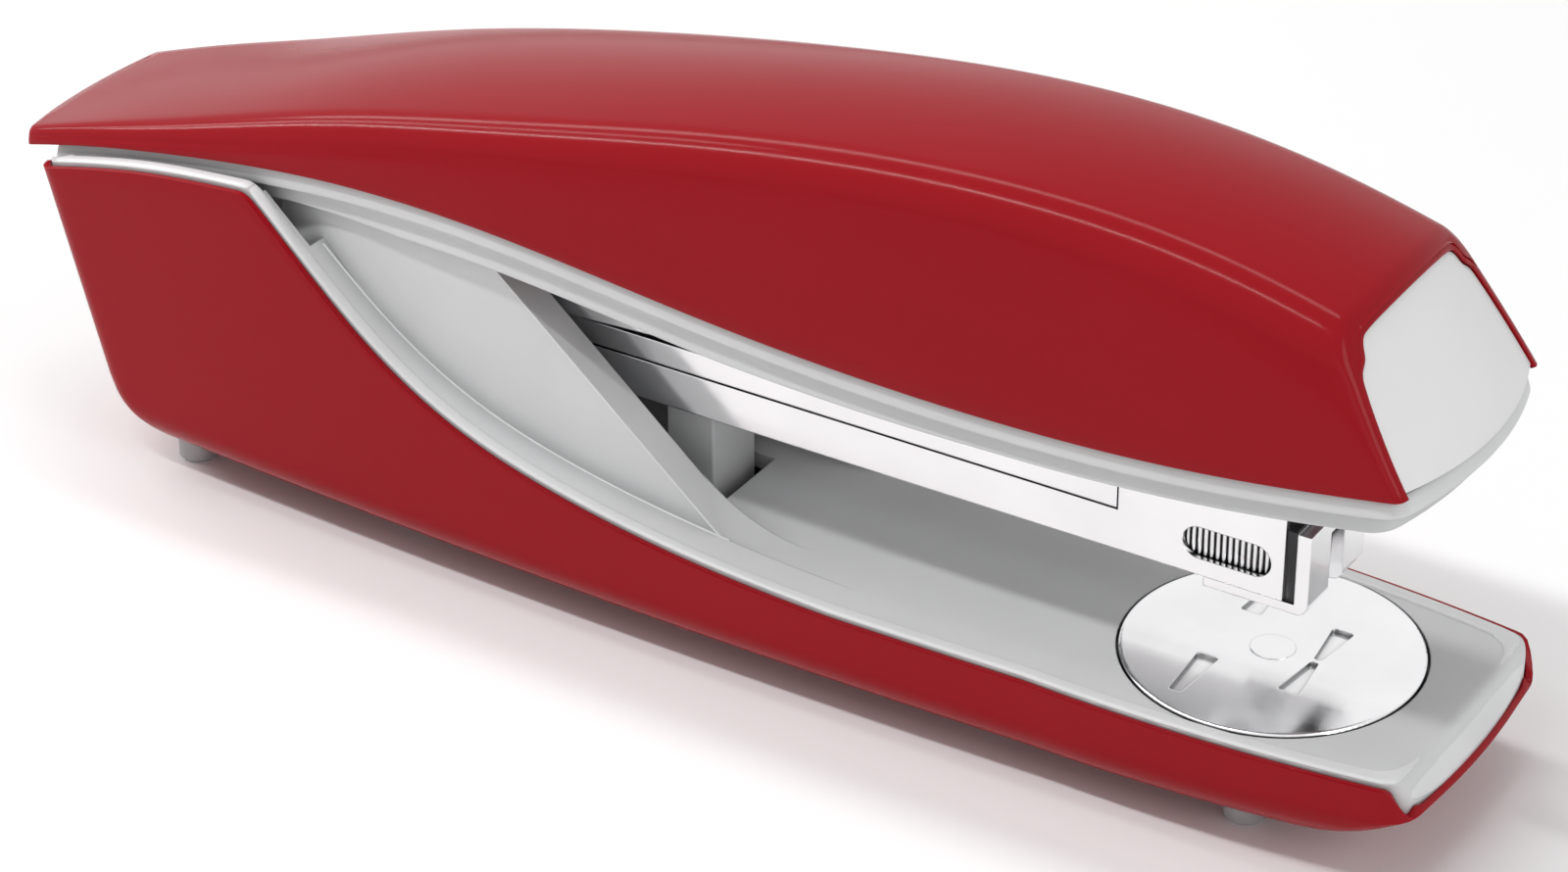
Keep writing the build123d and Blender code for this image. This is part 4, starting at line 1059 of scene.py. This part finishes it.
studio = {
    "floorSize": 6.0, "floorColour": (0.93, 0.93, 0.93), "floorRoughness": 0.9, "worldStrength": 0.32,
    # name, place, size, power, aim
    "softboxes": [
        ("overhead", (-0.45, 0.22, 1.08), (1.7, 0.12), 5.6, (0, 0, 0.05)),
        ("shoulderStrip", (-0.55, -0.42, 0.95), (1.6, 0.05), 7.4, (0, 0, 0.06)),
        ("rearStrip", (-1.00, -0.10, 0.72), (0.7, 0.08), 1.6, (-0.05, 0, 0.05)),
        ("nearSide", (0.55, -1.10, 0.45), (1.0, 0.4), 0.8, (0.03, 0, 0.03)),
        ("frontFill", (1.1, -0.25, 0.65), (0.7, 0.6), 4.2, (0.06, 0, 0.02)),
    ],
}


def makeFloor():
    half = studio["floorSize"] / 2
    mesh = bpy.data.meshes.new("floor")
    corners = [(-half, -half, 0), (half, -half, 0), (half, half, 0), (-half, half, 0)]
    mesh.from_pydata(corners, [], [(0, 1, 2, 3)])
    material, _, shader = newMaterial("paleFloor")
    shader.inputs["Base Color"].default_value = (*studio["floorColour"], 1)
    shader.inputs["Roughness"].default_value = studio["floorRoughness"]
    mesh.materials.append(material)
    floor = bpy.data.objects.new("floor", mesh)
    bpy.context.scene.collection.objects.link(floor)


def makeWorld():
    world = bpy.data.worlds.new("studioWorld")
    bpy.context.scene.world = world
    world.use_nodes = True
    tree = world.node_tree
    tree.nodes.clear()
    path = tree.nodes.new("ShaderNodeLightPath")
    seen = addNode(tree, "ShaderNodeMath", operation="MAXIMUM")
    shown = addNode(tree, "ShaderNodeMath", operation="MAXIMUM")
    plain = addNode(tree, "ShaderNodeBackground", Color=(1, 1, 1, 1), Strength=studio["worldStrength"])
    white = addNode(tree, "ShaderNodeBackground", Color=(1, 1, 1, 1), Strength=1.0)
    mix = tree.nodes.new("ShaderNodeMixShader")
    out = tree.nodes.new("ShaderNodeOutputWorld")
    tree.links.new(path.outputs["Is Camera Ray"], seen.inputs[0])
    tree.links.new(path.outputs["Is Transmission Ray"], seen.inputs[1])
    tree.links.new(seen.outputs[0], shown.inputs[0])
    tree.links.new(path.outputs["Is Glossy Ray"], shown.inputs[1])
    tree.links.new(shown.outputs[0], mix.inputs[0])
    tree.links.new(plain.outputs[0], mix.inputs[1])
    tree.links.new(white.outputs[0], mix.inputs[2])
    tree.links.new(mix.outputs[0], out.inputs[0])


def makeSoftboxes():
    for name, place, size, power, aim in studio["softboxes"]:
        data = bpy.data.lights.new(name, "AREA")
        data.shape = "RECTANGLE"
        data.size, data.size_y = size
        data.energy = power
        lamp = bpy.data.objects.new(name, data)
        lamp.location = place
        back = (Vector(place) - Vector(aim)).normalized()
        side = (Vector((1, 0, 0)) - back * back.x).normalized()  # long side along the stapler
        up = back.cross(side)
        lamp.rotation_euler = Matrix((side, up, back)).transposed().to_euler()
        bpy.context.scene.collection.objects.link(lamp)


makeFloor()
makeWorld()
makeSoftboxes()
bpy.context.scene.view_settings.view_transform = "Standard"
print("studio made")
